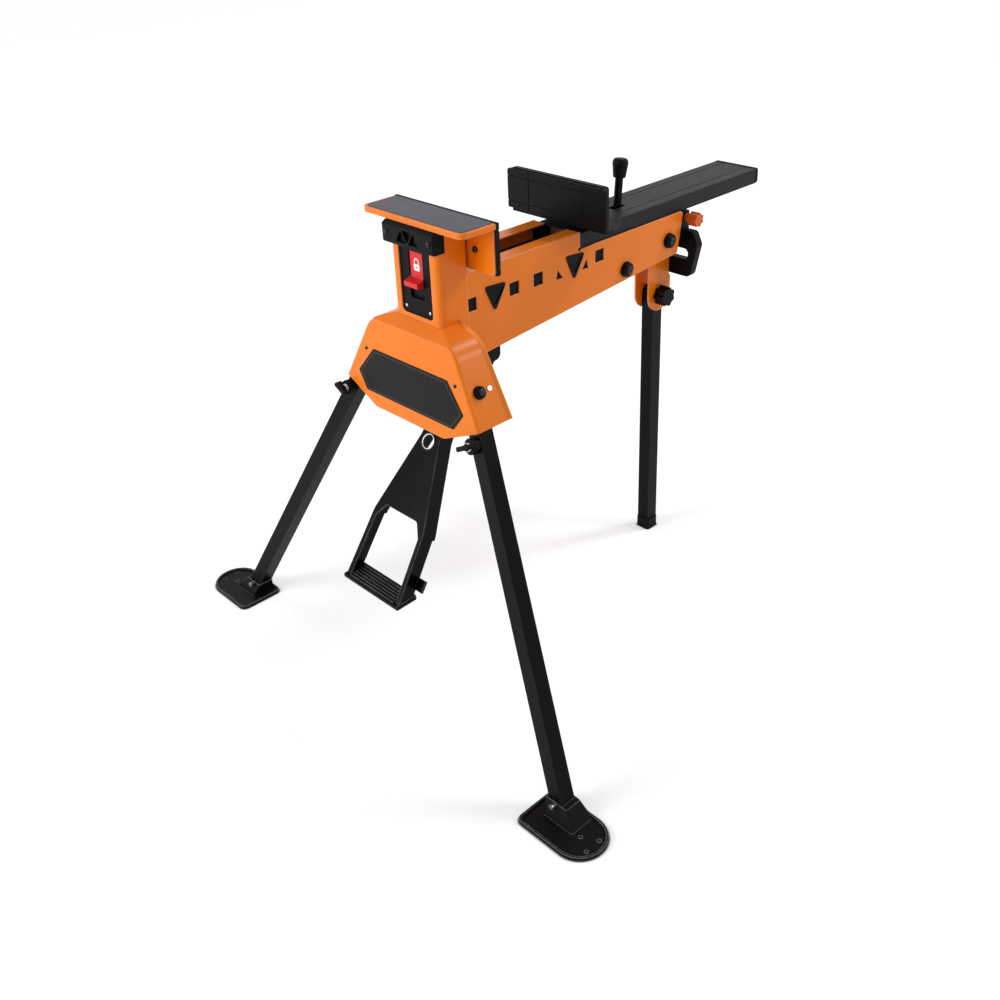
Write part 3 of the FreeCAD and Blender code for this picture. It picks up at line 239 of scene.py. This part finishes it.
def new_material(name):
    """An empty node material and its tree."""
    material = bpy.data.materials.new(name)
    material.use_nodes = True
    material.node_tree.nodes.clear()
    return material, material.node_tree


def coated(name, colour, wear_and_highlight_colour, roughness, shine, peel_mm, peel_depth, edge_mm, wear_and_highlight_shares, grain=0.06):
    """Painted or moulded surface. Fine noise of peel_mm gives its texture, broad noise a slight change of
    colour, and the difference between the true and the rounded normal shows edges. Edges with open room
    round them take the lighter edge colour, partly wear and partly a painted highlight, by its two shares,
    from the least to the most handled places. Grooves and inner corners are painted darker, partly as dust
    and partly as painted shade."""
    material, tree = new_material(name)
    place = put(tree, "ShaderNodeTexCoord", {}, {}).outputs["Object"]
    fine = put(tree, "ShaderNodeTexNoise", {"Scale": 1 / (peel_mm * MM), "Detail": 2.0}, {"Vector": place})
    broad = put(tree, "ShaderNodeTexNoise", {"Scale": 1 / (PATCH_MM * MM), "Detail": 5.0, "Roughness": 0.6},
                {"Vector": place})
    soft = put(tree, "ShaderNodeBevel", {"samples": 4, "Radius": edge_mm * MM}, {})
    hard = put(tree, "ShaderNodeNewGeometry", {}, {})
    along = put(tree, "ShaderNodeVectorMath", {"operation": "DOT_PRODUCT"},
                {0: soft.outputs["Normal"], 1: hard.outputs["True Normal"]})
    wear_and_highlight_edge = put(tree, "ShaderNodeMapRange", {"From Min": WEAR_AND_HIGHLIGHT_COSINES[0], "From Max": WEAR_AND_HIGHLIGHT_COSINES[1]},
              {"Value": along.outputs["Value"]})
    patchy = put(tree, "ShaderNodeMapRange",
                 {"From Min": PATCH_NOISE[0], "From Max": PATCH_NOISE[1],
                  "To Min": wear_and_highlight_shares[0], "To Max": wear_and_highlight_shares[1]},
                 {"Value": broad.outputs["Fac"]})
    room = put(tree, "ShaderNodeAmbientOcclusion",
               {"samples": 4, "only_local": True, "Distance": 2 * edge_mm * MM}, {})
    open_side = put(tree, "ShaderNodeMapRange", {"From Min": OPEN_ROOM[0], "From Max": OPEN_ROOM[1]},
                    {"Value": room.outputs["AO"]})
    outer = put(tree, "ShaderNodeMath", {"operation": "MULTIPLY"},
                {0: wear_and_highlight_edge.outputs["Result"], 1: open_side.outputs["Result"]})
    edge = put(tree, "ShaderNodeMath", {"operation": "MULTIPLY"},
               {0: outer.outputs["Value"], 1: patchy.outputs["Result"]})
    base = linear(colour)
    tone = put(tree, "ShaderNodeMix",
               {"data_type": "RGBA", MIX_FROM: scaled(base, 1 - grain), MIX_TO: scaled(base, 1 + grain)},
               {MIX_SHARE: broad.outputs["Fac"]})
    # Grooves and inner corners are painted darker, partly as dust and partly as painted shade.
    groove_dust_and_shade = put(tree, "ShaderNodeMix", {"data_type": "RGBA", MIX_FROM: scaled(base, GROOVE_SHADE)},
                 {MIX_SHARE: open_side.outputs["Result"], MIX_TO: tone.outputs[MIX_RESULT]})
    # Edges take the lighter colour: partly wear, partly a painted highlight along folds and rims.
    skin = put(tree, "ShaderNodeMix", {"data_type": "RGBA", MIX_TO: linear(wear_and_highlight_colour)},
               {MIX_SHARE: edge.outputs["Value"], MIX_FROM: groove_dust_and_shade.outputs[MIX_RESULT]})
    rough = put(tree, "ShaderNodeMapRange",
                {"To Min": roughness - ROUGH_SPREAD, "To Max": roughness + ROUGH_SPREAD},
                {"Value": broad.outputs["Fac"]})
    bump = put(tree, "ShaderNodeBump", {"Strength": PEEL_STRENGTH, "Distance": peel_depth * MM},
               {"Height": fine.outputs["Fac"], "Normal": soft.outputs["Normal"]})
    shader = put(tree, "ShaderNodeBsdfPrincipled", {"Specular IOR Level": shine},
                 {"Base Color": skin.outputs[MIX_RESULT], "Roughness": rough.outputs["Result"],
                  "Normal": bump.outputs["Normal"]})
    put(tree, "ShaderNodeOutputMaterial", {}, {"Surface": shader.outputs["BSDF"]})
    return material


def plated(name, colour, roughness):
    """Plated or drawn steel: metallic, with a cloudy change of gloss, and a grit that is finer than the
    render can show and so is drawn about a millimetre across."""
    material, tree = new_material(name)
    place = put(tree, "ShaderNodeTexCoord", {}, {}).outputs["Object"]
    cloud = put(tree, "ShaderNodeTexNoise", {"Scale": 1 / (CLOUD_MM * MM), "Detail": 4.0},
                {"Vector": place})
    gloss = put(tree, "ShaderNodeMapRange",
                {"To Min": roughness + CLOUD_ROUGH[0], "To Max": roughness + CLOUD_ROUGH[1]},
                {"Value": cloud.outputs["Fac"]})
    base = linear(colour)
    tone = put(tree, "ShaderNodeMix",
               {"data_type": "RGBA", MIX_FROM: scaled(base, CLOUD_SHADE), MIX_TO: base},
               {MIX_SHARE: cloud.outputs["Fac"]})
    grit = put(tree, "ShaderNodeTexNoise", {"Scale": 1 / (GRIT_MM * MM), "Detail": 2.0}, {"Vector": place})
    bump = put(tree, "ShaderNodeBump", {"Strength": GRIT_STRENGTH, "Distance": GRIT_DEEP * MM},
               {"Height": grit.outputs["Fac"]})
    shader = put(tree, "ShaderNodeBsdfPrincipled", {"Metallic": 1.0},
                 {"Base Color": tone.outputs[MIX_RESULT], "Roughness": gloss.outputs["Result"],
                  "Normal": bump.outputs["Normal"]})
    put(tree, "ShaderNodeOutputMaterial", {}, {"Surface": shader.outputs["BSDF"]})
    return material


FINISHES = {
    # Powder coat on sheet steel: an even satin orange with a peel about 1.4 mm across, paler on folds and
    # edges, a painted highlight.
    "orange_paint": coated("powder_coat_orange", "#F27C0A", "#FFD9B4", roughness=0.30, shine=0.25,
                           peel_mm=1.4, peel_depth=0.05, edge_mm=2.6, wear_and_highlight_shares=(0.45, 0.95)),
    # Black powder coat: near black and satin, with its edges painted grey, a painted highlight.
    "black_paint": coated("powder_coat_black", "#050506", "#666667", roughness=0.32, shine=0.08,
                          peel_mm=1.1, peel_depth=0.05, edge_mm=1.6, wear_and_highlight_shares=(0.25, 0.85), grain=0.2),
    # Moulded nylon: matt black with a spark-eroded grain, drawn at 0.9 mm, coarser than it is, so that it
    # shows.
    "black_moulding": coated("moulded_nylon_black", "#070708", "#3A3A3B", roughness=0.46, shine=0.08,
                             peel_mm=0.9, peel_depth=0.08, edge_mm=1.4, wear_and_highlight_shares=(0.1, 0.7), grain=0.2),
    # Moulded nylon of the jaw: the same with a slightly coarser grain, and a shade lighter.
    "jaw_moulding": coated("moulded_nylon_jaw", "#0A0A0C", "#3C3C40", roughness=0.48, shine=0.09,
                           peel_mm=1.0, peel_depth=0.08, edge_mm=1.4, wear_and_highlight_shares=(0.1, 0.7), grain=0.2),
    # Plastic film: flat and finely matt, grey on the head.
    "grey_cover": coated("matt_film_grey", "#45474F", "#7C7F87", roughness=0.45, shine=0.26,
                         peel_mm=0.6, peel_depth=0.03, edge_mm=0.6, wear_and_highlight_shares=(0.0, 0.6)),
    # The same film in black on the hub.
    "panel_film": coated("matt_film_black", "#151415", "#3C3C3E", roughness=0.40, shine=0.10,
                         peel_mm=0.6, peel_depth=0.03, edge_mm=0.6, wear_and_highlight_shares=(0.0, 0.6)),
    # Moulded ABS: a bright, half-gloss red.
    "red_moulding": coated("moulded_abs_red", "#D92128", "#E37A7D", roughness=0.36, shine=0.30,
                           peel_mm=0.8, peel_depth=0.04, edge_mm=1.0, wear_and_highlight_shares=(0.1, 0.6)),
    # Moulded ABS: a duller orange than the paint, half-gloss.
    "orange_moulding": coated("moulded_abs_orange", "#D2601A", "#E0945F", roughness=0.42, shine=0.32,
                              peel_mm=0.9, peel_depth=0.06, edge_mm=1.2, wear_and_highlight_shares=(0.1, 0.6)),
    # Zinc plate: bright and slightly cloudy.
    "plated_steel": plated("zinc_plated_steel", "#C4C6C9", roughness=0.32),
    # Spring steel: dark from its oil.
    "spring_steel": plated("oiled_spring_steel", "#5E5E62", roughness=0.35),
}
# Stove enamel on the pressed pedal: glossier than powder coat, with its folds painted bright, a painted
# highlight.
PEDAL_ENAMEL = coated("stove_enamel_black", "#040405", "#B4B4B5", roughness=0.24, shine=0.07,
                      peel_mm=1.1, peel_depth=0.04, edge_mm=2.0, wear_and_highlight_shares=(0.35, 0.95), grain=0.2)
# Stove enamel on the pressed feet: the same, a little greyer, with rims and folds painted bright, a painted
# highlight.
FOOT_ENAMEL = coated("stove_enamel_foot", "#0C0D0E", "#C8C8C9", roughness=0.30, shine=0.09,
                     peel_mm=1.1, peel_depth=0.04, edge_mm=2.2, wear_and_highlight_shares=(0.5, 1.0), grain=0.2)
# Blackened screws: dark and shiny.
BLACKENED = plated("blackened_steel", "#34383E", roughness=0.26)
# Powder coat on the hub's flared edge: a paler orange, a painted highlight, with no painted groove shade
# in it, so it reads against the side.
LIP_HIGHLIGHT_FINISH = coated("powder_coat_flared_edge", "#FF9633", "#FFD9B4", roughness=0.30, shine=0.25,
                    peel_mm=1.4, peel_depth=0.05, edge_mm=0.3, wear_and_highlight_shares=(0.45, 0.95))
# Moulded nylon of the sliding deck: a greyer black, with its edges painted lighter, a painted highlight.
DECK_FINISH = coated("moulded_nylon_deck", "#1B1A20", "#77767E", roughness=0.46, shine=0.13,
                     peel_mm=1.0, peel_depth=0.08, edge_mm=1.4, wear_and_highlight_shares=(0.3, 0.9), grain=0.15)
# Pad print on the switch: an even, finely matt white.
MARK_WHITE = coated("pad_printed_white", "#F1F0EC", "#D8A9A6", roughness=0.50, shine=0.30,
                    peel_mm=0.6, peel_depth=0.02, edge_mm=0.3, wear_and_highlight_shares=(0.0, 0.6))
# Screen print on the film: a thin, matt grey.
LINE_GREY = coated("screen_printed_grey", "#4E4D50", "#3A3A3C", roughness=0.50, shine=0.12,
                   peel_mm=0.6, peel_depth=0.02, edge_mm=0.3, wear_and_highlight_shares=(0.0, 0.6))
SPECIAL = {
    "slide_deck": DECK_FINISH,
    "pedal_plate": PEDAL_ENAMEL,
    "pedal_tread": PEDAL_ENAMEL,
    "foot_plate_left": FOOT_ENAMEL,
    "foot_plate_right": FOOT_ENAMEL,
}


def dress_nodes():
    """Every CAD node takes the finish of its material slot, or one of its own where its making
    differs."""
    for part in record["subparts"]:
        node = part["node"]
        for slot in nodes[node].material_slots:
            slot.material = SPECIAL.get(node, FINISHES[part["material_slot"]])


def surface(name, grid, material, body, around=False):
    """A grid of points as quads, where around closes its second direction. Doubled points at poles are
    merged."""
    rows, columns = grid.shape[:2]
    index = np.arange(rows * columns).reshape(rows, columns)
    if around:
        index = np.hstack([index, index[:, :1]])
    quads = np.stack([index[:-1, :-1], index[1:, :-1], index[1:, 1:], index[:-1, 1:]], axis=-1)
    mesh = bpy.data.meshes.new(name)
    mesh.from_pydata(grid.reshape(-1, 3).tolist(), [], quads.reshape(-1, 4).tolist())
    cells = bmesh.new()
    cells.from_mesh(mesh)
    bmesh.ops.remove_doubles(cells, verts=cells.verts, dist=MERGE_REACH)
    bmesh.ops.recalc_face_normals(cells, faces=cells.faces)
    cells.to_mesh(mesh)
    cells.free()
    mesh.polygons.foreach_set("use_smooth", np.ones(len(mesh.polygons), dtype=bool))
    mesh.materials.append(material)
    piece = bpy.data.objects.new(name, mesh)
    scene.collection.objects.link(piece)
    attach(piece, body)


def onto(points, place, right, up, out):
    """Points with parts along right, up and out from a place."""
    return np.asarray(place) + points @ np.array((right, up, out))


def square_to(out):
    """Two directions square to out, the first of them level."""
    right = np.cross((0, 0, 1), out)
    right = right / np.linalg.norm(right)
    return right, np.cross(out, right)


def tilted(angle):
    """The up and out directions of a front face that leans back by an angle."""
    up = np.array((0, np.sin(angle), np.cos(angle)))
    out = np.array((0, -np.cos(angle), np.sin(angle)))
    return up, out


def full_turn(steps):
    """Even angles once round, without the last."""
    return np.linspace(0, 2 * np.pi, steps, endpoint=False)


def squared(wave, power):
    """A sine or cosine with its size raised to a power, which squares an ellipse where the power is under
    one."""
    return np.sign(wave) * np.abs(wave) ** power


def cross_screw(name, place, out, radius, material):
    """Crowned screw head on the stand: its height falls with the fourth power of the distance from the
    middle, less a cross of two bands with sloping sides, and a flat underside a hair below its rim closes
    it."""
    reach = np.linspace(0, 1, 26)[:, None]
    turn = full_turn(80)[None]
    wide = reach * np.cos(turn)
    tall = reach * np.sin(turn)
    bands = []
    for across, lengthwise in ((tall, wide), (wide, tall)):
        sides = np.clip((RECESS_HALF_WIDE - np.abs(across)) / RECESS_SIDE, 0, 1)
        ends = np.clip((RECESS_HALF_LONG - np.abs(lengthwise)) / RECESS_END, 0, 1)
        bands.append(sides * ends)
    rise = CROWN_HIGH * (1 - reach ** 4) - RECESS_DEEP * np.maximum(*bands)
    top = np.stack([wide, tall, rise], axis=-1)
    under = top[[-1, 0]] * (1, 1, 0) - (0, 0, CROWN_UNDER)
    head = np.concatenate([top, under]) * radius * MM
    surface(name, onto(head, place, *square_to(out), out), material, "stand", True)


def paired_screws(node, material, tilt=0.0):
    """Crowns on a pair of front screws: each sits on the middle of its head's outer face, found from the
    pair's box and the face's tilt."""
    low, high = np.array(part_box(node))
    radius = (high[2] - low[2]) / 2
    for side, hand in ((-1, "left"), (1, "right")):
        place = (side * (high[0] - radius), low[1] + radius * np.sin(tilt), (low[2] + high[2]) / 2)
        cross_screw(node + "_crown_" + hand, place, tilted(tilt)[1], radius / MM, material)


def cap_screws():
    """Blackened screws in the caps: two on the hub's sides along the legs' pivots, four on the beam's
    cross bolts."""
    low, high = np.array(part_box("cross_bolts"))
    for side, hand in ((-1, "left"), (1, "right")):
        pivot = joints["front_leg_" + hand + "_pivot"]
        out = np.array(pivot["axis"]) * side
        place = np.array(pivot["pos_m"]) + out * PIVOT_CAP_OUT * MM
        cross_screw("pivot_cap_screw_" + hand, place, out, PIVOT_SCREW_R, BLACKENED)
        for spot, corner, step in (("front", low, 1), ("rear", high, -1)):
            place = (side * high[0], *(corner[1:] + step * BOLT_CAP_R * MM))
            name = "bolt_cap_screw_" + spot + "_" + hand
            cross_screw(name, place, (side, 0, 0), BOLT_SCREW_R, BLACKENED)


def revolved(profile, steps=48):
    """A closed profile of (radius, height) turned about the out direction: radius goes to right and up by
    the cosine and sine of the turn, height goes along out."""
    turn = full_turn(steps)
    loop = np.vstack([profile, profile[:1]]) * MM
    radius = loop[:, :1]
    height = np.repeat(loop[:, 1:], steps, axis=1)
    return np.stack([radius * np.cos(turn), radius * np.sin(turn), height], axis=-1)


def rounded_path(corners, radius, steps=8):
    """A closed path through corners with each one turned on an arc: the arc's middle lies on the corner's
    bisector, radius over the half angle's sine away, and its points swing between the two tangent
    points."""
    corner = np.asarray(corners, dtype=float)
    back = np.roll(corner, 1, axis=0) - corner
    ahead = np.roll(corner, -1, axis=0) - corner
    back = back / np.linalg.norm(back, axis=1, keepdims=True)
    ahead = ahead / np.linalg.norm(ahead, axis=1, keepdims=True)
    half = np.arccos(np.clip((back * ahead).sum(axis=1), -1, 1)) / 2
    reach = radius / np.tan(half)
    middle = (back + ahead) / np.linalg.norm(back + ahead, axis=1, keepdims=True)
    centre = corner + middle * (radius / np.sin(half))[:, None]
    start = corner + back * reach[:, None] - centre
    end = corner + ahead * reach[:, None] - centre
    share = np.linspace(0, 1, steps)[None, :, None]
    swing = start[:, None] * (1 - share) + end[:, None] * share
    swing = swing / np.linalg.norm(swing, axis=2, keepdims=True) * radius
    return (centre[:, None] + swing).reshape(-1, 2)


def swept(path, section, closed, middle=(0, 0)):
    """A closed section of (out, along) carried along a flat path, square to it: out goes to the right of
    the path's direction and along stands up from its plane. An open path's ends are closed on the
    section's middle."""
    step = np.roll(path, -1, axis=0) - np.roll(path, 1, axis=0)
    if not closed:
        step[0] = path[1] - path[0]
        step[-1] = path[-1] - path[-2]
    step = step / np.linalg.norm(step, axis=1, keepdims=True)
    side = np.column_stack([step[:, 1], -step[:, 0]])
    loop = np.vstack([section, section[:1]])
    out = np.repeat(loop[:, :1], len(path), axis=1)
    along = np.repeat(loop[:, 1:], len(path), axis=1)
    if not closed:
        ends = np.ones((len(loop), 1))
        out = np.hstack([ends * middle[0], out, ends * middle[0]])
        along = np.hstack([ends * middle[1], along, ends * middle[1]])
        path = np.vstack([path[:1], path, path[-1:]])
        side = np.vstack([side[:1], side, side[-1:]])
    flat = path[None] + side[None] * out[..., None]
    return np.concatenate([flat, along[..., None]], axis=-1) * MM


def raised_line(path, width, height, closed):
    """A low bead along a flat path: its section is half an ellipse over the path's plane and a shallow
    one under."""
    turn = full_turn(14)
    up = np.sin(turn)
    section = np.column_stack([np.cos(turn) * width / 2, np.where(up > 0, up, up * MARK_SINK) * height])
    return swept(path, section, closed)


def low_dome(half_wide, half_tall, power):
    """A low dome on a squared ellipse: its height falls away with the sixth power of the distance from
    its middle, and a flat underside closes it."""
    turn = full_turn(48)
    reach = np.append(np.linspace(0, 1, 10), [1, 0])[:, None]
    wide = reach * squared(np.cos(turn), power) * half_wide
    tall = reach * squared(np.sin(turn), power) * half_tall
    rise = np.repeat(MARK_PROUD * (1 - reach ** 6), len(turn), axis=1)
    rise[-2:] = -MARK_SINK * MARK_PROUD
    return np.stack([wide, tall, rise], axis=-1) * MM


def padlock_mark():
    """Generic padlock on the lock switch: a low dome for its block, a smaller one for the keyhole, and a
    raised line over two uprights and a half circle for the shackle."""
    low, high = np.array(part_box("lock_switch"))
    place = ((low[0] + high[0]) / 2, JAW_Y + SWITCH_FACE * MM, high[2] - PADLOCK_DOWN * MM)
    swing = np.linspace(0, np.pi, 17)
    arch = np.column_stack([np.cos(swing), np.sin(swing)]) * SHACKLE_R + (0, SHACKLE_RISE)
    uprights = np.vstack([[SHACKLE_R, SHACKLE_FOOT], arch, [-SHACKLE_R, SHACKLE_FOOT]])
    block = low_dome(*BLOCK_HALF, BLOCK_SQUARE) - (0, PADLOCK_DROP * MM, 0)
    shackle = raised_line(uprights, SHACKLE_WIDE, MARK_PROUD, False)
    keyhole = low_dome(*KEYHOLE_HALF, KEYHOLE_SQUARE) + (0, -PADLOCK_DROP * MM, KEYHOLE_PROUD * MM)
    for name, grid, material, around in (
        ("padlock_mark_block", block, MARK_WHITE, True),
        ("padlock_mark_shackle", shackle, MARK_WHITE, False),
        ("padlock_mark_keyhole", keyhole, LINE_GREY, True),
    ):
        mark = onto(grid, place, (1, 0, 0), (0, 0, 1), (0, -1, 0))
        surface(name, mark, material, "lock_switch", around)


def hub_panel_border():
    """Thin printed line on the panel of the hub's tilted front: a low bead along the panel's outline,
    drawn in towards its middle by two shares, with rounded corners."""
    corners = np.array(PANEL_CORNERS, dtype=float)
    middle = corners.mean(axis=0)
    path = rounded_path(middle + (corners - middle) * BORDER_SHARE, BORDER_CORNER_R)
    up, out = tilted(HUB_TILT)
    place = HUB_SHOULDER + out * PANEL_THICK * MM
    bead = raised_line(path, BORDER_WIDE, BORDER_PROUD, True)
    border = onto(bead, place, (1, 0, 0), up, out)
    surface("hub_panel_border", border, LINE_GREY, "stand", True)


def hub_rear_lip(name, side):
    """Rear edge of the hub flared outward: a section of a straight ramp and a rounded rim is carried up
    the splayed side, round the shoulder's arc and up the slope to the column."""
    foot = (HUB_SHOULDER_HALF + (HUB_SHOULDER_Z - HUB_ELBOW_Z) * np.tan(HUB_SPLAY), HUB_ELBOW_Z)
    shoulder = (HUB_SHOULDER_HALF, HUB_SHOULDER_Z)
    top = (COLUMN_HALF, HUB_TOP_Z)
    arc = rounded_path((foot, shoulder, top), HUB_SHOULDER_R, ARC_RINGS)[ARC_RINGS:2 * ARC_RINGS]
    rise = np.linspace(foot, arc[0], SIDE_RINGS)
    slope = np.linspace(arc[-1], top, SLOPE_RINGS)
    path = np.vstack([rise[:-1], arc, slope[1:]])
    half = LIP_THICK / 2
    curl = np.linspace(-LIP_FLARE, np.pi / 2, 9)
    rim = np.column_stack([np.cos(curl), np.sin(curl)]) * half + (LIP_REACH - half, -half)
    start = rim[0, 1] - rim[0, 0] / np.tan(LIP_FLARE)
    ramp = np.linspace((0, start), rim[0], 10)[:-1]
    root = [(-LIP_ROOT, 0), (-LIP_ROOT, start)]
    lip = swept(path, np.vstack([ramp, rim, root]), False, (0, -half))
    place = (0, JAW_Y + HUB_REAR * MM, 0)
    edge = onto(lip, place, (side, 0, 0), (0, 0, 1), (0, 1, 0))
    # The lip's paler orange is a painted highlight.
    surface(name, edge, LIP_HIGHLIGHT_FINISH, "stand")


def pedal_grommet():
    """Bright rolled ring in the hole of the pedal's neck: an ellipse turned about the hole's axis."""
    pivot = np.array(joints["pedal_pivot"]["pos_m"])
    up, out = tilted(PEDAL_REST)
    place = pivot - up * PEDAL_HOLE_DROP * MM + out * (PEDAL_PLATE_FRONT + PEDAL_RIM_PROUD) * MM
    turn = full_turn(20)
    radius = RING_R + RING_HALF_WIDE * np.cos(turn)
    height = RING_LIFT + RING_HALF_TALL * np.sin(turn)
    ring = onto(revolved(np.column_stack([radius, height])), place, (1, 0, 0), up, out)
    surface("pedal_grommet", ring, FINISHES["plated_steel"], "pedal", True)


def deck_front_cheek(name, side):
    """Cheek that closes the front end of the deck's side wall: squared ellipses that grow from the middle
    of its front, round the rim by a quarter circle, run back to the wall and close again behind."""
    low, high = np.array(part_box("slide_deck"))
    wide = CHEEK_WIDTH * MM / 2
    tall = (high[2] - low[2]) / 2 - CHEEK_CLEAR * MM
    deep = CHEEK_DEEP * MM
    turn = full_turn(96)
    bend = np.linspace(0, np.pi / 2, 7)
    trim = CHEEK_ROUND * MM * (1 - np.sin(bend))
    sink = CHEEK_ROUND * MM * (1 - np.cos(bend))
    reach = np.concatenate([[0], wide - trim, [wide, 0]])[:, None]
    rise = np.concatenate([[0], tall - trim, [tall, 0]])[:, None]
    back = np.concatenate([[0], sink, [deep, deep]])[:, None] - deep
    across = reach * squared(np.cos(turn), CHEEK_SQUARE)
    up = rise * squared(np.sin(turn), CHEEK_SQUARE)
    middle = (side * (high[0] + CHEEK_OVER * MM - wide), low[1], (low[2] + high[2]) / 2)
    cheek = np.stack([across, np.repeat(back, len(turn), axis=1), up], axis=-1) + middle
    surface(name, cheek, FINISHES["jaw_moulding"], "jaw", True)


def lock_sleeve(side):
    """Bright turned sleeve on a leg lock's neck, between the collar and the cross bar: a chamfered
    profile with a groove near its middle, turned about the lock's axis."""
    low, high = np.array(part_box("lock_collar_" + side))
    out = np.array(joints["leg_lock_" + side + "_pull"]["axis"])
    place = (low + high) / 2 + out * (COLLAR_HALF + SLEEVE_GAP) * MM
    inner = SLEEVE_R - SLEEVE_CHAMFER
    lower = [(SLEEVE_BORE_R, 0), (inner, 0), (SLEEVE_R, SLEEVE_CHAMFER)]
    groove = np.column_stack([(SLEEVE_R, GROOVE_R, GROOVE_R, SLEEVE_R), GROOVE_HEIGHTS])
    upper = [(SLEEVE_R, SLEEVE_LONG - SLEEVE_CHAMFER), (inner, SLEEVE_LONG), (SLEEVE_BORE_R, SLEEVE_LONG)]
    sleeve = onto(revolved(np.vstack([lower, groove, upper])), place, *square_to(out), out)
    body = "leg_lock_" + side
    surface("lock_sleeve_" + side, sleeve, FINISHES["plated_steel"], body, True)


def stand_at(thing, right, up, back, place):
    """Puts a lamp or the camera at a place, looking away from back."""
    axes = np.column_stack([right, up, back, place])
    thing.matrix_world = Matrix(np.vstack([axes, [0, 0, 0, 1]]).tolist())


def area_light(name, place, target, size, power):
    """A square soft lamp aimed at a point."""
    data = bpy.data.lights.new(name, "AREA")
    data.size = size
    data.energy = power
    lamp = bpy.data.objects.new(name, data)
    scene.collection.objects.link(lamp)
    back = np.subtract(place, target)
    back = back / np.linalg.norm(back)
    stand_at(lamp, *square_to(back), back, place)


def seen_directly(tree):
    """One for camera, glossy and transmission rays, nothing for the rays that light the object."""
    ray = put(tree, "ShaderNodeLightPath", {}, {})
    shiny = put(tree, "ShaderNodeMath", {"operation": "MAXIMUM"},
                {0: ray.outputs["Is Camera Ray"], 1: ray.outputs["Is Glossy Ray"]})
    return put(tree, "ShaderNodeMath", {"operation": "MAXIMUM"},
               {0: shiny.outputs["Value"], 1: ray.outputs["Is Transmission Ray"]}).outputs["Value"]


def paper_floor():
    """White paper floor that keeps the shadow: its glow grows with the distance from the middle, and goes
    out, with the paper painted dark, a painted shade, in the narrow gap under whatever stands on it."""
    half = FLOOR_HALF
    corners = [(-half, -half, 0), (half, -half, 0), (half, half, 0), (-half, half, 0)]
    floor_mesh = bpy.data.meshes.new("floor")
    floor_mesh.from_pydata(corners, [], [(0, 1, 2, 3)])
    floor = bpy.data.objects.new("floor", floor_mesh)
    scene.collection.objects.link(floor)
    material, tree = new_material("white_paper_sweep")
    place = put(tree, "ShaderNodeTexCoord", {}, {}).outputs["Object"]
    away = put(tree, "ShaderNodeVectorMath", {"operation": "LENGTH"}, {0: place})
    level = put(tree, "ShaderNodeMapRange",
                {"From Min": FLOOR_FADE[0], "From Max": FLOOR_FADE[1],
                 "To Min": FLOOR_GLOW[0], "To Max": FLOOR_GLOW[1]},
                {"Value": away.outputs["Value"]})
    seen = put(tree, "ShaderNodeMath", {"operation": "MULTIPLY"},
               {0: level.outputs["Result"], 1: seen_directly(tree)})
    # Painted shade in the narrow gap under the feet: the glow is cut and the paper darkened there.
    near = put(tree, "ShaderNodeAmbientOcclusion", {"samples": 8, "Distance": CONTACT_REACH}, {})
    gap = put(tree, "ShaderNodeMath", {"operation": "POWER", 1: CONTACT_POWER}, {0: near.outputs["AO"]})
    lift = put(tree, "ShaderNodeMath", {"operation": "MULTIPLY"},
               {0: seen.outputs["Value"], 1: gap.outputs["Value"]})
    glow = put(tree, "ShaderNodeEmission", {"Color": (1, 1, 1, 1)}, {"Strength": lift.outputs["Value"]})
    shade = put(tree, "ShaderNodeMix",
                {"data_type": "RGBA", MIX_FROM: linear(CONTACT_SHADE), MIX_TO: linear(PAPER_WHITE)},
                {MIX_SHARE: gap.outputs["Value"]})
    paper = put(tree, "ShaderNodeBsdfDiffuse", {}, {"Color": shade.outputs[MIX_RESULT]})
    both = put(tree, "ShaderNodeAddShader", {}, {0: paper.outputs["BSDF"], 1: glow.outputs["Emission"]})
    put(tree, "ShaderNodeOutputMaterial", {}, {"Surface": both.outputs["Shader"]})
    floor_mesh.materials.append(material)


def white_surroundings():
    """World that looks white and lights the object at a plain level."""
    world = bpy.data.worlds.new("studio")
    world.use_nodes = True
    tree = world.node_tree
    tree.nodes.clear()
    level = put(tree, "ShaderNodeMapRange", {"To Min": WORLD_LIGHT, "To Max": 1.0},
                {"Value": seen_directly(tree)})
    light = put(tree, "ShaderNodeBackground", {"Color": (1, 1, 1, 1)},
                {"Strength": level.outputs["Result"]})
    put(tree, "ShaderNodeOutputWorld", {}, {"Surface": light.outputs["Background"]})
    scene.world = world


def camera():
    """The photograph's viewpoint, with a shift because the lens's centre lies above the picture's
    middle."""
    data = bpy.data.cameras.new("photo_view")
    data.sensor_fit = "HORIZONTAL"
    data.sensor_width = SENSOR_WIDTH
    data.lens = SENSOR_WIDTH * FOCAL_WIDTHS
    data.shift_y = -CENTRE_RISE
    view = bpy.data.objects.new("photo_view", data)
    scene.collection.objects.link(view)
    stand_at(view, CAMERA_RIGHT, CAMERA_UP, np.negative(CAMERA_FORWARD), CAMERA_PLACE)
    scene.camera = view


dress_nodes()
for pair, tilt in (("grip_screws", 0.0), ("pad_screws", 0.0), ("hub_screws", HUB_TILT)):
    paired_screws(pair, BLACKENED, tilt)
paired_screws("panel_screws", FINISHES["plated_steel"])
cap_screws()
padlock_mark()
hub_panel_border()
hub_rear_lip("hub_rear_lip_left", -1)
hub_rear_lip("hub_rear_lip_right", 1)
pedal_grommet()
deck_front_cheek("deck_front_cheek_left", -1)
deck_front_cheek("deck_front_cheek_right", 1)
lock_sleeve("left")
lock_sleeve("right")
paper_floor()
white_surroundings()
for lamp_name, settings in LAMPS.items():
    area_light(lamp_name, *settings)
camera()
scene.view_settings.view_transform = "Standard"
